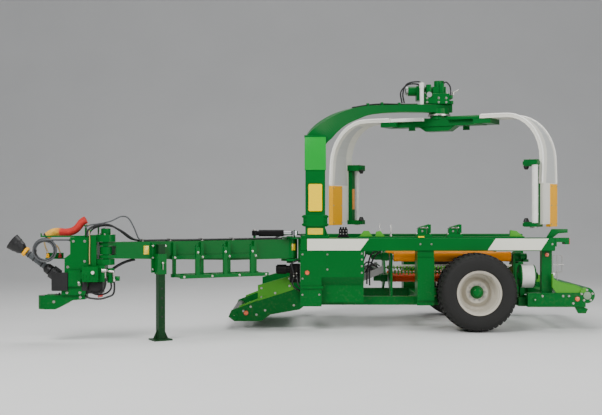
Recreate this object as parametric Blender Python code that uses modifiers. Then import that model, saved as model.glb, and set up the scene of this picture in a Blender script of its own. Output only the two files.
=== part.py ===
"""Towed square bale wrapper with two film arms: chassis, swinging drawbar, wrapping satellite,
infeed table and tail table. Metres, +Z up, drawbar toward -X, ground at z = 0."""

import math

import bmesh
import bpy
from mathutils import Matrix, Vector

# ---------------------------------------------------------------- driving dimensions
GAP = 0.0003  # between pieces that are bolted or welded together
CLEAR = 0.006  # between pieces that move past each other
PIN_CLEAR = 0.002  # round a pin in its hole

AXLE_X = 2.40
TRACK = 2.20
TYRE_R = 0.535
TYRE_WIDTH = 0.55
RIM_R = 0.285
WHEEL_SIDES = 28
STUB_R = 0.045

FRAME_FRONT = -0.01
FRAME_REAR = 3.47
FRAME_HALF = 1.14
BEAM_TOP = 1.277
BEAM_H = 0.18
BEAM_W = 0.18
RAIL_BOTTOM = 0.33
RAIL_H = 0.12
RAIL_W = 0.10
RAIL_HALF = 0.80
POST_FRONT_X = (FRAME_FRONT, 0.28)
POST_MID_X = (1.59, 1.82)
POST_REAR_X = (3.32, 3.46)
CROSS_FRONT_X = (0.16, 0.28)
CROSS_REAR_X = (3.00, 3.12)

TOWER_X, TOWER_Y = 0.195, BEAM_W / 2 - FRAME_HALF
TOWER_SIZE = (0.27, 0.20)
TOWER_JOIN_Z = 2.45
PIVOT_X, PIVOT_Y = 2.034, 0.0
ARCH_END_BOTTOM = 3.09
ARCH_STEP = 0.07  # between the sections that the arch is lofted through
ARCH_END_TOP = 3.205
DRIVE_TOP = 3.55
BEARING_H = 0.055

SATELLITE_ANGLE = -30.0  # where the rear film arm points at rest
ARM_BEND_R = 1.10
ARM_OUTER_R = 1.655
ARM_TOP = 3.01
ARM_THICK = 0.05
ARM_SHOULDER_Z = 2.36
ARM_BOTTOM = 1.46
HUB_BEAM_H = 0.12
FILM_HEIGHT = 0.75
STRETCH_R = 0.042

DRAWBAR_ANGLE = 210.0  # direction of the drawbar at rest
DRAWBAR_LENGTH = 2.65
DRAWBAR_TOP = 1.255
DRAWBAR_WIDTH = 0.17
SWING_PLATE = 0.04  # the bracket's back plate and the room in front of it
SWING_X, SWING_Y = FRAME_FRONT - SWING_PLATE - DRAWBAR_WIDTH / 2 - 0.02, -0.95
DRAWBAR_LOW = (0.99, 1.05)  # its underside at the root and at the tip
SWING_PIN_R = 0.045
HEAD_PIN_R = 0.035
FORK_T = 0.045
RACK_FROM = 0.56
RACK_LENGTH = 1.25
RACK_DEPTH = 0.345
RACK_LOW = 0.79
LEG_AT = 1.98  # along the drawbar
LEG_SIZE = 0.09
LEG_TOP = 1.22
FOOT = (0.24, 0.22)
RAM_Z = 1.342
RAM_LUG_AT = 0.55
RAM_R = 0.045
RAM_ROD_R = 0.02
RAM_PIN_R = 0.018
RAM_EYE = (-0.09, -1.15)
RAM_EYE_PIN_R = 0.012
RAM_EYE_SLACK = 0.018  # the eye drifts this far round its pin as the drawbar swings

ROLLER_X = (1.30, 2.945)
ROLLER_HIGH = (0.70, 1.00, 0.07)  # offset from the middle, height, radius
ROLLER_LOW = (0.42, 0.68, 0.055)

INFEED_X, INFEED_Z = 0.06, 0.42
INFEED_HALF = 0.86
INFEED_SIDE = 0.05
INFEED_PIN_R = 0.025
INFEED_NOSE = (-0.93, 0.19, 0.06)
TAIL_X, TAIL_Z = 3.20, 0.43
TAIL_ARM_Y = (1.02, 1.12)
TAIL_ROLLER = (3.93, 0.487, 0.105)
TAIL_GUARD = ((3.44, 0.78), (3.47, 0.70), (3.56, 0.66), (3.75, 0.62), (3.90, 0.55), (3.90, 0.51), (3.50, 0.51), (3.44, 0.60))

HITCH_Z = (0.985, 1.285)
HEAD_BACK = 0.20
NECK_HALF = 0.13
HITCH_REACH = 0.744
HITCH_BAR_TOP = 0.60
HITCH_PIN_R = 0.028
SHAFT_Z = 0.83
SHAFT_SLOPE = math.radians(37)
SHAFT_LENGTH = 0.72
HOSE_R = 0.048
HOSE_Z = 1.47
CABLE_R = 0.011
COIL_R = 0.13
COIL_AT = (0.74, -0.11)  # in front of the head's pin, and towards the near side

GREEN = ("frame green", (0.004, 0.19, 0.055), 0.38, 0.0)
LIGHT_GREEN = ("bright green", (0.12, 0.45, 0.12), 0.45, 0.0)
WHITE = ("arm white", (0.72, 0.70, 0.64), 0.4, 0.0)
YELLOW = ("yellow", (0.9, 0.6, 0.02), 0.45, 0.0)
BLACK = ("black", (0.012, 0.012, 0.012), 0.55, 0.0)
RUBBER = ("rubber", (0.015, 0.014, 0.012), 0.85, 0.0)
STEEL = ("steel", (0.45, 0.45, 0.44), 0.35, 1.0)
SILVER = ("rim silver", (0.62, 0.60, 0.54), 0.45, 0.4)
RED = ("sleeve red", (0.6, 0.03, 0.02), 0.7, 0.0)
ORANGE = ("orange", (0.75, 0.33, 0.02), 0.4, 0.0)

# ---------------------------------------------------------------- scene and bodies
for old in list(bpy.data.objects):
    bpy.data.objects.remove(old, do_unlink=True)

PARTS = bpy.data.collections.new("bale_wrapper")
bpy.context.scene.collection.children.link(PARTS)
BODIES = {}


def body(name, at, parent=None):
    """An empty on the joint's axis, which the moving nodes hang from."""
    empty = bpy.data.objects.new(name + "_axis", None)
    empty.empty_display_size = 0.1
    PARTS.objects.link(empty)
    above = BODIES[parent]["at"] if parent else Vector()
    empty.parent = BODIES[parent]["empty"] if parent else None
    empty.location = Vector(at) - above
    BODIES[name] = {"empty": empty, "at": Vector(at)}


def material(spec):
    name, colour, rough, metal = spec
    made = bpy.data.materials.get(name)
    if not made:
        made = bpy.data.materials.new(name)
        made.use_nodes = True
        shader = made.node_tree.nodes["Principled BSDF"]
        shader.inputs["Base Color"].default_value = (*colour, 1)
        shader.inputs["Roughness"].default_value = rough
        shader.inputs["Metallic"].default_value = metal
    return made


# ---------------------------------------------------------------- shape helpers
def shape(mesh, name="shape"):
    made = bpy.data.objects.new(name, mesh)
    PARTS.objects.link(made)
    return made


def from_bmesh(bm):
    bmesh.ops.recalc_face_normals(bm, faces=bm.faces)
    mesh = bpy.data.meshes.new("shape")
    bm.to_mesh(mesh)
    bm.free()
    return shape(mesh)


def block(x, y, z, chamfer=0.0):
    bm = bmesh.new()
    bmesh.ops.create_cube(bm, size=1)
    size = [abs(side[1] - side[0]) for side in (x, y, z)]
    bmesh.ops.scale(bm, vec=size, verts=bm.verts)
    bmesh.ops.translate(bm, vec=[sum(side) / 2 for side in (x, y, z)], verts=bm.verts)
    if chamfer:
        bmesh.ops.bevel(bm, geom=bm.edges[:], offset=chamfer, segments=1, affect="EDGES")
    return from_bmesh(bm)


def rod(start, end, radius, end_radius=None, sides=20):
    start, end = Vector(start), Vector(end)
    bm = bmesh.new()
    bmesh.ops.create_cone(
        bm,
        cap_ends=True,
        segments=sides,
        radius1=radius,
        radius2=radius if end_radius is None else end_radius,
        depth=(end - start).length,
    )
    turn = (end - start).to_track_quat("Z", "Y").to_matrix().to_4x4()
    bmesh.ops.transform(bm, matrix=Matrix.Translation((start + end) / 2) @ turn, verts=bm.verts)
    return from_bmesh(bm)


def evaluated(obj, weld=False):
    """The object with its modifiers or its curve made into a plain mesh."""
    graph = bpy.context.evaluated_depsgraph_get()
    graph.update()
    mesh = bpy.data.meshes.new_from_object(obj.evaluated_get(graph))
    mesh.transform(obj.matrix_world)
    bm = bmesh.new()
    bm.from_mesh(mesh)
    if weld:
        bmesh.ops.remove_doubles(bm, verts=bm.verts, dist=0.00005)
    bm.to_mesh(mesh)
    bm.free()
    bpy.data.objects.remove(obj, do_unlink=True)
    return shape(mesh)


PLANES = {
    "XY": Matrix.Identity(4),
    "XZ": Matrix(((1, 0, 0, 0), (0, 0, -1, 0), (0, 1, 0, 0), (0, 0, 0, 1))),
    "YZ": Matrix(((0, 0, 1, 0), (1, 0, 0, 0), (0, 1, 0, 0), (0, 0, 0, 1))),
}


def plate(plane, outline, across):
    """A flat outline in a plane, filled and made thick between two offsets along its normal."""
    curve = bpy.data.curves.new("outline", "CURVE")
    curve.dimensions = "2D"
    curve.fill_mode = "BOTH"
    curve.extrude = abs(across[1] - across[0]) / 2
    spline = curve.splines.new("POLY")
    spline.points.add(len(outline) - 1)
    for point, (u, v) in zip(spline.points, outline):
        point.co = (u, v, 0, 1)
    spline.use_cyclic_u = True
    middle = (across[0] + across[1]) / 2
    offset = {"XY": (0, 0, middle), "XZ": (0, middle, 0), "YZ": (middle, 0, 0)}[plane]
    obj = shape(curve)
    obj.matrix_world = Matrix.Translation(offset) @ PLANES[plane]
    return evaluated(obj, weld=True)


def smooth_path(points, step):
    """Points along a Catmull-Rom curve through the given points, about one step apart."""
    points = [Vector(p) for p in points]
    ends = [2 * points[0] - points[1], *points, 2 * points[-1] - points[-2]]
    found = []
    for a, b, c, d in zip(ends, ends[1:], ends[2:], ends[3:]):
        count = max(1, round((c - b).length / step))
        for i in range(count):
            t = i / count
            found.append(
                0.5
                * (2 * b + (c - a) * t + (2 * a - 5 * b + 4 * c - d) * t**2 + (3 * b - a - 3 * c + d) * t**3)
            )
    return [*found, points[-1]]


def tube(points, radius, resolution=2):
    curve = bpy.data.curves.new("tube", "CURVE")
    curve.dimensions = "3D"
    curve.bevel_depth = radius
    curve.bevel_resolution = resolution
    curve.use_fill_caps = True
    spline = curve.splines.new("POLY")
    spline.points.add(len(points) - 1)
    for point, at in zip(spline.points, points):
        point.co = (*at, 1)
    return evaluated(shape(curve), weld=True)


def turned(profile, steps=32, closed=False):
    """A profile of (radius, height) pairs, outside run top to bottom, turned about Z."""
    mesh = bpy.data.meshes.new("profile")
    count = len(profile)
    edges = [(i, i + 1) for i in range(count - 1)] + ([(count - 1, 0)] if closed else [])
    mesh.from_pydata([(r, 0, h) for r, h in profile], edges, [])
    obj = shape(mesh)
    screw = obj.modifiers.new("turn", "SCREW")
    screw.steps = screw.render_steps = steps
    screw.use_merge_vertices = True
    screw.merge_threshold = 0.00005
    made = evaluated(obj, weld=True)
    bm = bmesh.new()
    bm.from_mesh(made.data)
    bmesh.ops.recalc_face_normals(bm, faces=bm.faces)
    bm.to_mesh(made.data)
    bm.free()
    return made


def loft(sections):
    """A solid through sections of four corners each."""
    bm = bmesh.new()
    rings = [[bm.verts.new(corner) for corner in section] for section in sections]
    for a, b in zip(rings, rings[1:]):
        for i in range(4):
            j = (i + 1) % 4
            bm.faces.new((a[i], a[j], b[j], b[i]))
    bm.faces.new(rings[0])
    bm.faces.new(rings[-1])
    return from_bmesh(bm)


def place(obj, matrix):
    obj.data.transform(matrix)
    return obj


def turn_z(degrees, at=(0, 0, 0)):
    at = Vector(at)
    return Matrix.Translation(at) @ Matrix.Rotation(math.radians(degrees), 4, "Z")


def along_y(at, facing=1):
    """Stands a turned shape's axis along Y, its top facing +Y or -Y."""
    return Matrix.Translation(at) @ Matrix.Rotation(math.radians(-90 * facing), 4, "X")


def along_x(at):
    return Matrix.Translation(at) @ Matrix.Rotation(math.radians(90), 4, "Y")


def combined(operation, first, others):
    for other in others:
        modifier = first.modifiers.new(operation.lower(), "BOOLEAN")
        modifier.operation = operation
        modifier.solver = "EXACT"
        modifier.object = other
    made = evaluated(first)
    for other in others:
        bpy.data.objects.remove(other, do_unlink=True)
    return made


def node(name, on, look, pieces, cuts=(), frame=None):
    """One named solid on a body: its pieces joined, its holes cut, then placed by its own frame."""
    pieces = list(pieces)
    made = combined("UNION", pieces[0], pieces[1:]) if len(pieces) > 1 else pieces[0]
    if cuts:
        made = combined("DIFFERENCE", made, list(cuts))
    if frame:
        place(made, frame)
    made.name = made.data.name = name
    made.data.materials.clear()
    made.data.materials.append(material(look))
    made.data.shade_smooth()
    made.data.set_sharp_from_angle(angle=math.radians(35))
    if on:
        made.data.transform(Matrix.Translation(-BODIES[on]["at"]))
        made.parent = BODIES[on]["empty"]
    return made


def mirror_y(side, low, high):
    return (side * low, side * high)


SIDES = (("left", -1), ("right", 1))


# ---------------------------------------------------------------- chassis
def build_chassis():
    beam_low = BEAM_TOP - BEAM_H
    under = beam_low - GAP
    rail_top = RAIL_BOTTOM + RAIL_H
    rear = [block(CROSS_REAR_X, (-0.99, 0.99), (RAIL_BOTTOM, rail_top))]
    for name, side in SIDES:
        outer = FRAME_HALF
        node(
            f"side_beam_{name}",
            None,
            GREEN,
            [block((FRAME_FRONT, FRAME_REAR), mirror_y(side, outer - BEAM_W, outer), (beam_low, BEAM_TOP), 0.008)],
        )
        front = block(POST_FRONT_X, mirror_y(side, outer - 0.15, outer), (0.34, under))
        ledge = block((FRAME_FRONT, 0.30), mirror_y(side, outer - 0.03, outer + 0.02), (0.585, 0.615))
        fold = [
            (side * y, z)
            for y, z in (
                (outer, under),
                (outer, 0.74),
                (outer - 0.11, 0.62),
                (outer - 0.11, 0.385),
                (outer - 0.15, 0.385),
                (outer - 0.15, 0.64),
                (outer - 0.05, 0.755),
                (outer - 0.05, under),
            )
        ]
        node(f"front_panel_{name}", None, GREEN, [front, ledge, plate("YZ", fold, (POST_FRONT_X[1] - 0.01, 0.86))])
        node(
            f"lower_rail_{name}",
            None,
            GREEN,
            [
                block(
                    (CROSS_FRONT_X[1] + GAP, CROSS_REAR_X[0] - GAP),
                    mirror_y(side, RAIL_HALF - RAIL_W, RAIL_HALF),
                    (RAIL_BOTTOM, rail_top),
                    0.006,
                )
            ],
        )
        node(
            f"mid_post_{name}",
            None,
            GREEN,
            [
                block(POST_MID_X, mirror_y(side, RAIL_HALF + GAP, outer - 0.03), (0.35, under)),
                block((POST_MID_X[0], POST_MID_X[1]), mirror_y(side, outer - 0.06, outer), (0.42, 1.0)),
            ],
        )
        foot = block(
            (CROSS_REAR_X[1] - 0.02, POST_REAR_X[1]), mirror_y(side, 0.86, 1.0), (RAIL_BOTTOM + 0.04, rail_top + 0.03)
        )
        post = block(POST_REAR_X, mirror_y(side, 0.87, 0.99), (0.40, under))
        pin = rod((TAIL_X, side * 0.95, TAIL_Z), (TAIL_X, side * (TAIL_ARM_Y[1] + 0.01), TAIL_Z), 0.03)
        rear += [foot, post, pin]

    post_inner = FRAME_HALF - 0.15 - GAP
    front = [block(CROSS_FRONT_X, (-post_inner, post_inner), (RAIL_BOTTOM + 0.012, RAIL_BOTTOM + RAIL_H))]
    for _, side in SIDES:
        lug = mirror_y(side, INFEED_HALF + CLEAR, post_inner - 0.01)
        front.append(block((INFEED_X - 0.06, CROSS_FRONT_X[0] + 0.02), lug, (INFEED_Z - 0.06, INFEED_Z + 0.05)))
        ends = [(INFEED_X, side * y, INFEED_Z) for y in (INFEED_HALF - INFEED_SIDE - 0.002, 0.95)]
        front.append(rod(*ends, INFEED_PIN_R))
    node("front_cross_member", None, GREEN, front)
    node(
        "mid_cross_member",
        None,
        GREEN,
        [
            block(
                (POST_MID_X[0] + 0.06, POST_MID_X[1] - 0.05),
                (-RAIL_HALF + RAIL_W + GAP, RAIL_HALF - RAIL_W - GAP),
                (RAIL_BOTTOM, RAIL_BOTTOM + RAIL_H),
                0.006,
            )
        ],
    )
    node("rear_frame", None, GREEN, rear)

    # The axle beam lies on the lower rails, with a stub for each wheel.
    rail_z = RAIL_BOTTOM + RAIL_H + GAP
    axle = [
        block((AXLE_X - 0.06, AXLE_X + 0.06), (-0.80, 0.80), (TYRE_R - 0.06, TYRE_R + 0.06)),
        rod((AXLE_X, -TRACK / 2 + 0.035, TYRE_R), (AXLE_X, TRACK / 2 - 0.035, TYRE_R), STUB_R),
    ]
    axle += [
        block((AXLE_X - 0.10, AXLE_X + 0.10), mirror_y(side, RAIL_HALF - RAIL_W, RAIL_HALF), (rail_z, TYRE_R))
        for _, side in SIDES
    ]
    node("axle", None, GREEN, axle)

    # Sloping conveyor bed that carries the bale from the infeed up to the rollers.
    bed = []
    for _, side in SIDES:
        line = [(0.30, 0.50), (1.16, 0.86), (1.16, 0.76), (0.42, 0.45 + GAP), (0.30, 0.45 + GAP)]
        bed.append(plate("XZ", line, mirror_y(side, 0.50, 0.56)))
    for i in range(5):
        x = 0.36 + i * 0.18
        z = 0.525 + (x - 0.36) * 0.42 - 0.025
        bed.append(rod((x, -0.53, z), (x, 0.53, z), 0.02, sides=12))
    bed.append(block((0.28 + GAP, 0.34), (-0.69, 0.69), (0.452, 0.49)))
    node("conveyor_bed", None, STEEL, bed)


def build_cradle():
    """End plates that carry the four wrapping rollers, and their drive at the rear."""
    high, low = ROLLER_HIGH, ROLLER_LOW
    x0, x1 = ROLLER_X
    for name, x in (("front", (x0 - 0.05, x0 - 0.02)), ("rear", (x1 + 0.02, x1 + 0.05))):
        pieces = []
        for _, side in SIDES:
            outline = [
                (side * (RAIL_HALF - 0.01), RAIL_BOTTOM + RAIL_H + GAP),
                (side * (RAIL_HALF - 0.01), high[1] + 0.05),
                (side * (high[0] - 0.06), high[1] + 0.05),
                (side * (low[0] - 0.06), low[1] + 0.04),
                (side * (low[0] - 0.06), low[1] - 0.06),
                (side * (RAIL_HALF - RAIL_W - 0.02), RAIL_BOTTOM + RAIL_H + GAP),
            ]
            pieces.append(plate("YZ", outline, x))
        pieces.append(block(x, (-low[0], low[0]), (low[1] - 0.06, low[1] + 0.04)))
        cuts = [
            rod((x[0] - 0.1, side * r[0], r[1]), (x[1] + 0.1, side * r[0], r[1]), 0.022 + PIN_CLEAR, sides=16)
            for _, side in SIDES
            for r in (high, low)
        ]
        node(f"roller_cradle_{name}", None, GREEN, pieces, cuts)


def roller(name, x, y, z, radius, look):
    body(name, ((x[0] + x[1]) / 2, y, z))
    barrel = [
        (0, x[1]),
        (radius - 0.006, x[1]),
        (radius, x[1] - 0.006),
        (radius, x[0] + 0.006),
        (radius - 0.006, x[0]),
        (0, x[0]),
    ]
    made = place(turned(barrel, 20), Matrix.Translation((0, y, z)) @ Matrix.Rotation(math.radians(90), 4, "Y"))
    shaft = rod((x[0] - 0.055, y, z), (x[1] + 0.055, y, z), 0.022, sides=16)
    node(name, name, look, [made, shaft])


def build_rollers():
    x = (ROLLER_X[0], ROLLER_X[1])
    for name, side in SIDES:
        roller(f"upper_roller_{name}", x, side * ROLLER_HIGH[0], ROLLER_HIGH[1], ROLLER_HIGH[2], YELLOW)
        roller(f"lower_roller_{name}", x, side * ROLLER_LOW[0], ROLLER_LOW[1], ROLLER_LOW[2], ORANGE)


# ---------------------------------------------------------------- wheels
def build_wheels():
    half = TYRE_WIDTH / 2
    for name, side in SIDES:
        on = f"wheel_{name}"
        centre = (AXLE_X, side * TRACK / 2, TYRE_R)
        body(on, centre)
        rim = [
            (0, 0.03),
            (0.105, 0.03),
            (0.135, 0.045),
            (0.205, -0.02),
            (0.25, 0.0),
            (0.27, half - 0.035),
            (0.302, half - 0.018),
            (0.306, half - 0.030),
            (RIM_R, half - 0.038),
            (RIM_R, -half + 0.038),
            (0.306, -half + 0.030),
            (0.302, -half + 0.018),
            (0.27, -half + 0.035),
            (0.24, -0.05),
            (0.10, -0.03),
            (0.10, -0.10),
            (STUB_R + 0.005, -0.10),
            (STUB_R + 0.005, -0.025),
            (0, -0.025),
        ]
        node(f"rim_{name}", on, SILVER, [place(turned(rim, WHEEL_SIDES), along_y(centre, side))])
        bead = half - 0.0385
        tyre = [
            (RIM_R + GAP, bead),
            (0.3075, bead),
            (0.315, half - 0.01),
            (0.42, half),
            (0.49, half - 0.014),
            (0.525, half - 0.05),
            (TYRE_R, half - 0.11),
        ]
        tyre += [(r, -a) for r, a in reversed(tyre)]
        node(f"tyre_{name}", on, RUBBER, [place(turned(tyre, WHEEL_SIDES, closed=True), along_y(centre, side))])


# ---------------------------------------------------------------- tower, arch and satellite
def build_arch():
    half_x, half_y = TOWER_SIZE[0] / 2, TOWER_SIZE[1] / 2
    at_x = (TOWER_X - half_x, TOWER_X + half_x)
    at_y = (TOWER_Y - half_y, TOWER_Y + half_y)
    foot = block((TOWER_X - 0.19, TOWER_X + 0.19), (-FRAME_HALF, -FRAME_HALF + BEAM_W), (BEAM_TOP + GAP, BEAM_TOP + 0.03))
    column = block(at_x, (max(at_y[0], -FRAME_HALF - 0.01), at_y[1]), (BEAM_TOP + 0.02, TOWER_JOIN_Z - GAP), 0.01)
    collar = block((at_x[0] - 0.03, at_x[1] + 0.03), (at_y[0] - 0.02, at_y[1] + 0.03), (1.43, 1.59), 0.008)
    gussets = [
        plate(
            "XZ",
            [(x, BEAM_TOP + 0.02), (x, BEAM_TOP + 0.15), (x + d, BEAM_TOP + 0.02)],
            (TOWER_Y + y - 0.008, TOWER_Y + y + 0.008),
        )
        for x, d in ((at_x[1] - 0.005, 0.05),)
        for y in (-0.06, 0.06)
    ]
    node("arch_tower", None, GREEN, [column, foot, collar, *gussets])

    reach = math.hypot(PIVOT_X - TOWER_X, PIVOT_Y - TOWER_Y)
    heading = math.atan2(PIVOT_Y - TOWER_Y, PIVOT_X - TOWER_X)
    z0 = TOWER_JOIN_Z
    end = ARCH_END_TOP
    low = ARCH_END_BOTTOM
    outline = [
        # outer s, z, inner s, z, share of the turn, half width
        (-half_x, z0, half_x, z0, 0.0, half_y),
        (-half_x, z0 + 0.17, half_x + 0.005, z0 + 0.09, 0.05, half_y),
        (-half_x + 0.035, z0 + 0.25, half_x + 0.03, z0 + 0.14, 0.25, half_y),
        (-half_x + 0.135, z0 + 0.35, half_x + 0.08, z0 + 0.19, 0.6, half_y),
        (0.15, end - 0.305, 0.30, low - 0.36, 0.9, half_y),
        (0.35, end - 0.205, 0.45, low - 0.25, 1.0, 0.097),
        (0.60, end - 0.125, 0.66, low - 0.16, 1.0, 0.094),
        (0.85, end - 0.08, 0.87, low - 0.093, 1.0, 0.091),
        (0.6 * reach, end - 0.05, 0.6 * reach, low - 0.042, 1.0, 0.088),
        (0.83 * reach, end - 0.02, 0.83 * reach, low - 0.018, 1.0, 0.085),
        (reach + 0.18, end, reach + 0.18, low, 1.0, 0.085),
    ]
    sections = []
    for outer_s, outer_z, inner_s, inner_z, share, half in smooth_path(outline, ARCH_STEP):
        middle = (outer_s + inner_s) / 2
        base = Vector((TOWER_X, TOWER_Y, 0)) + middle * Vector((math.cos(heading), math.sin(heading), 0)) * share
        yaw = heading * share
        ahead = Vector((math.cos(yaw), math.sin(yaw), 0))
        aside = Vector((-math.sin(yaw), math.cos(yaw), 0))
        corners = []
        for s, z, v in ((outer_s, outer_z, -half), (outer_s, outer_z, half), (inner_s, inner_z, half), (inner_s, inner_z, -half)):
            corners.append(base + (s - middle * share) * ahead + v * aside + Vector((0, 0, z)))
        sections.append(corners)
    bearing = rod((PIVOT_X, PIVOT_Y, low - BEARING_H), (PIVOT_X, PIVOT_Y, low + 0.05), 0.15, sides=28)
    node("arch_beam", None, GREEN, [loft(sections), bearing])

    top = end + GAP
    drive = [
        block((PIVOT_X - 0.24, PIVOT_X + 0.14), (-0.12, 0.12), (top - 0.0, 3.36), 0.006),
        block((PIVOT_X - 0.10, PIVOT_X + 0.09), (-0.08, 0.08), (3.35, 3.46)),
        rod((PIVOT_X, 0, 3.40), (PIVOT_X, 0, DRIVE_TOP), 0.075),
        rod((PIVOT_X - 0.46, 0, 3.40), (PIVOT_X - 0.08, 0, 3.40), 0.07),
        rod((PIVOT_X - 0.49, 0, 3.40), (PIVOT_X - 0.45, 0, 3.40), 0.055),
        block((PIVOT_X - 0.34, PIVOT_X - 0.22), (-0.085, 0.085), (3.26, 3.47)),
    ]
    node("satellite_drive", None, GREEN, drive)


def arm_frame(which):
    """Turns a film arm's own frame (+X outward, +Y to its plate side) to its place at rest."""
    return turn_z(SATELLITE_ANGLE + (0 if which == "rear" else 180), (PIVOT_X, PIVOT_Y, 0))


def build_satellite():
    body("satellite", (PIVOT_X, PIVOT_Y, ARM_TOP))
    beam_top = ARCH_END_BOTTOM - BEARING_H - CLEAR - 0.03
    beam_low = beam_top - HUB_BEAM_H
    arm_in = 0.70
    arm_under = ARM_TOP - ARM_THICK
    skirt = [(-0.30, beam_low + 0.01), (-0.18, beam_low - 0.07), (0.18, beam_low - 0.07), (0.30, beam_low + 0.01)]
    hub = [
        block((-arm_in, arm_in), (-0.11, 0.11), (beam_low, beam_top)),
        rod((0, 0, beam_top - 0.02), (0, 0, beam_top + 0.03), 0.13, sides=28),
        plate("XZ", skirt, (-0.09, 0.09)),
        block((-0.86, -0.60), (-0.19, 0.19), (beam_low + 0.01, arm_under - GAP)),
        block((0.60, 0.86), (-0.19, 0.19), (beam_low + 0.01, arm_under - GAP)),
    ]
    node("satellite_beam", "satellite", GREEN, hub, frame=arm_frame("rear"))

    bend_r, bend_z = ARM_OUTER_R - ARM_BEND_R, ARM_TOP - ARM_SHOULDER_Z
    waist = 2.02
    pairs = [((arm_in + GAP, ARM_TOP), (arm_in + GAP, arm_under), 0.20)]
    for i in range(9):
        a = math.radians(90 * i / 8)
        turn_out = Vector((math.sin(a), math.cos(a)))
        outer = (ARM_BEND_R + bend_r * turn_out.x, ARM_SHOULDER_Z + bend_z * turn_out.y)
        inner = (outer[0] - ARM_THICK * turn_out.x, outer[1] - ARM_THICK * turn_out.y)
        pairs.append((outer, inner, 0.225 + 0.085 * i / 8))
    pairs.append(((ARM_OUTER_R, waist), (ARM_OUTER_R - ARM_THICK, waist), 0.335))

    inner_face = ARM_OUTER_R - ARM_THICK - GAP
    roll_top = ARM_BOTTOM + 0.04 + FILM_HEIGHT
    roller_at = (ARM_OUTER_R - 0.075, -0.43)
    roller_z = (ARM_BOTTOM + 0.015 + CLEAR, roll_top + 0.03 - CLEAR)
    for which in ("front", "rear"):
        turn = arm_frame(which)
        shell = loft([[(r, t, z) for (r, z), t in ((o, -h), (o, h), (i, h), (i, -h))] for o, i, h in pairs])
        thin = (ARM_OUTER_R - ARM_THICK + 0.001, ARM_OUTER_R - 0.001)
        lower = block(thin, (-0.28, 0.02), (ARM_BOTTOM, waist + 0.02))
        node(f"film_arm_{which}", "satellite", WHITE, [shell, lower], frame=turn)
        cover = block((thin[0] - 0.011, thin[1] + 0.011), (0.02 + GAP, 0.34), (1.42, waist - GAP), 0.006)
        node(f"arm_cover_{which}", "satellite", YELLOW, [cover], frame=turn)

        # The film dispenser stands beside the arm: two brackets, a column and a stretch roller.
        pieces = [block((inner_face - 0.06, inner_face), (-0.30, -0.20), (ARM_BOTTOM, roll_top + 0.05))]
        for z, end_z in (
            ((ARM_BOTTOM - 0.035, ARM_BOTTOM + 0.03), (ARM_BOTTOM - 0.03, ARM_BOTTOM + 0.015)),
            ((roll_top + 0.01, roll_top + 0.10), (roll_top + 0.03, roll_top + 0.08)),
        ):
            pieces += [
                block((inner_face - 0.20, inner_face), (-0.38, -0.16), z),
                block((roller_at[0] - 0.05, roller_at[0] + 0.045), (-0.49, -0.35), end_z),
                block((inner_face - 0.25, inner_face - 0.18), (-0.27, -0.17), end_z),
            ]
        hole = rod((*roller_at, ARM_BOTTOM - 0.2), (*roller_at, roll_top + 0.3), 0.012 + PIN_CLEAR, sides=12)
        node(f"film_dispenser_{which}", "satellite", GREEN, pieces, [hole], frame=turn)
        spin = f"stretch_roller_{which}"
        body(spin, turn @ Vector((*roller_at, sum(roller_z) / 2)), "satellite")
        barrel = rod((*roller_at, roller_z[0]), (*roller_at, roller_z[1]), STRETCH_R, sides=20)
        shaft = rod((*roller_at, roller_z[0] - 0.02), (*roller_at, roller_z[1] + 0.02), 0.012, sides=12)
        node(spin, spin, WHITE, [barrel, shaft], frame=turn)


# ---------------------------------------------------------------- drawbar
def drawbar_frame():
    """The drawbar's own frame: +X from the swing pin to the hitch head, Z up, pin at the origin."""
    return turn_z(DRAWBAR_ANGLE, (SWING_X, SWING_Y, 0))


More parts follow.
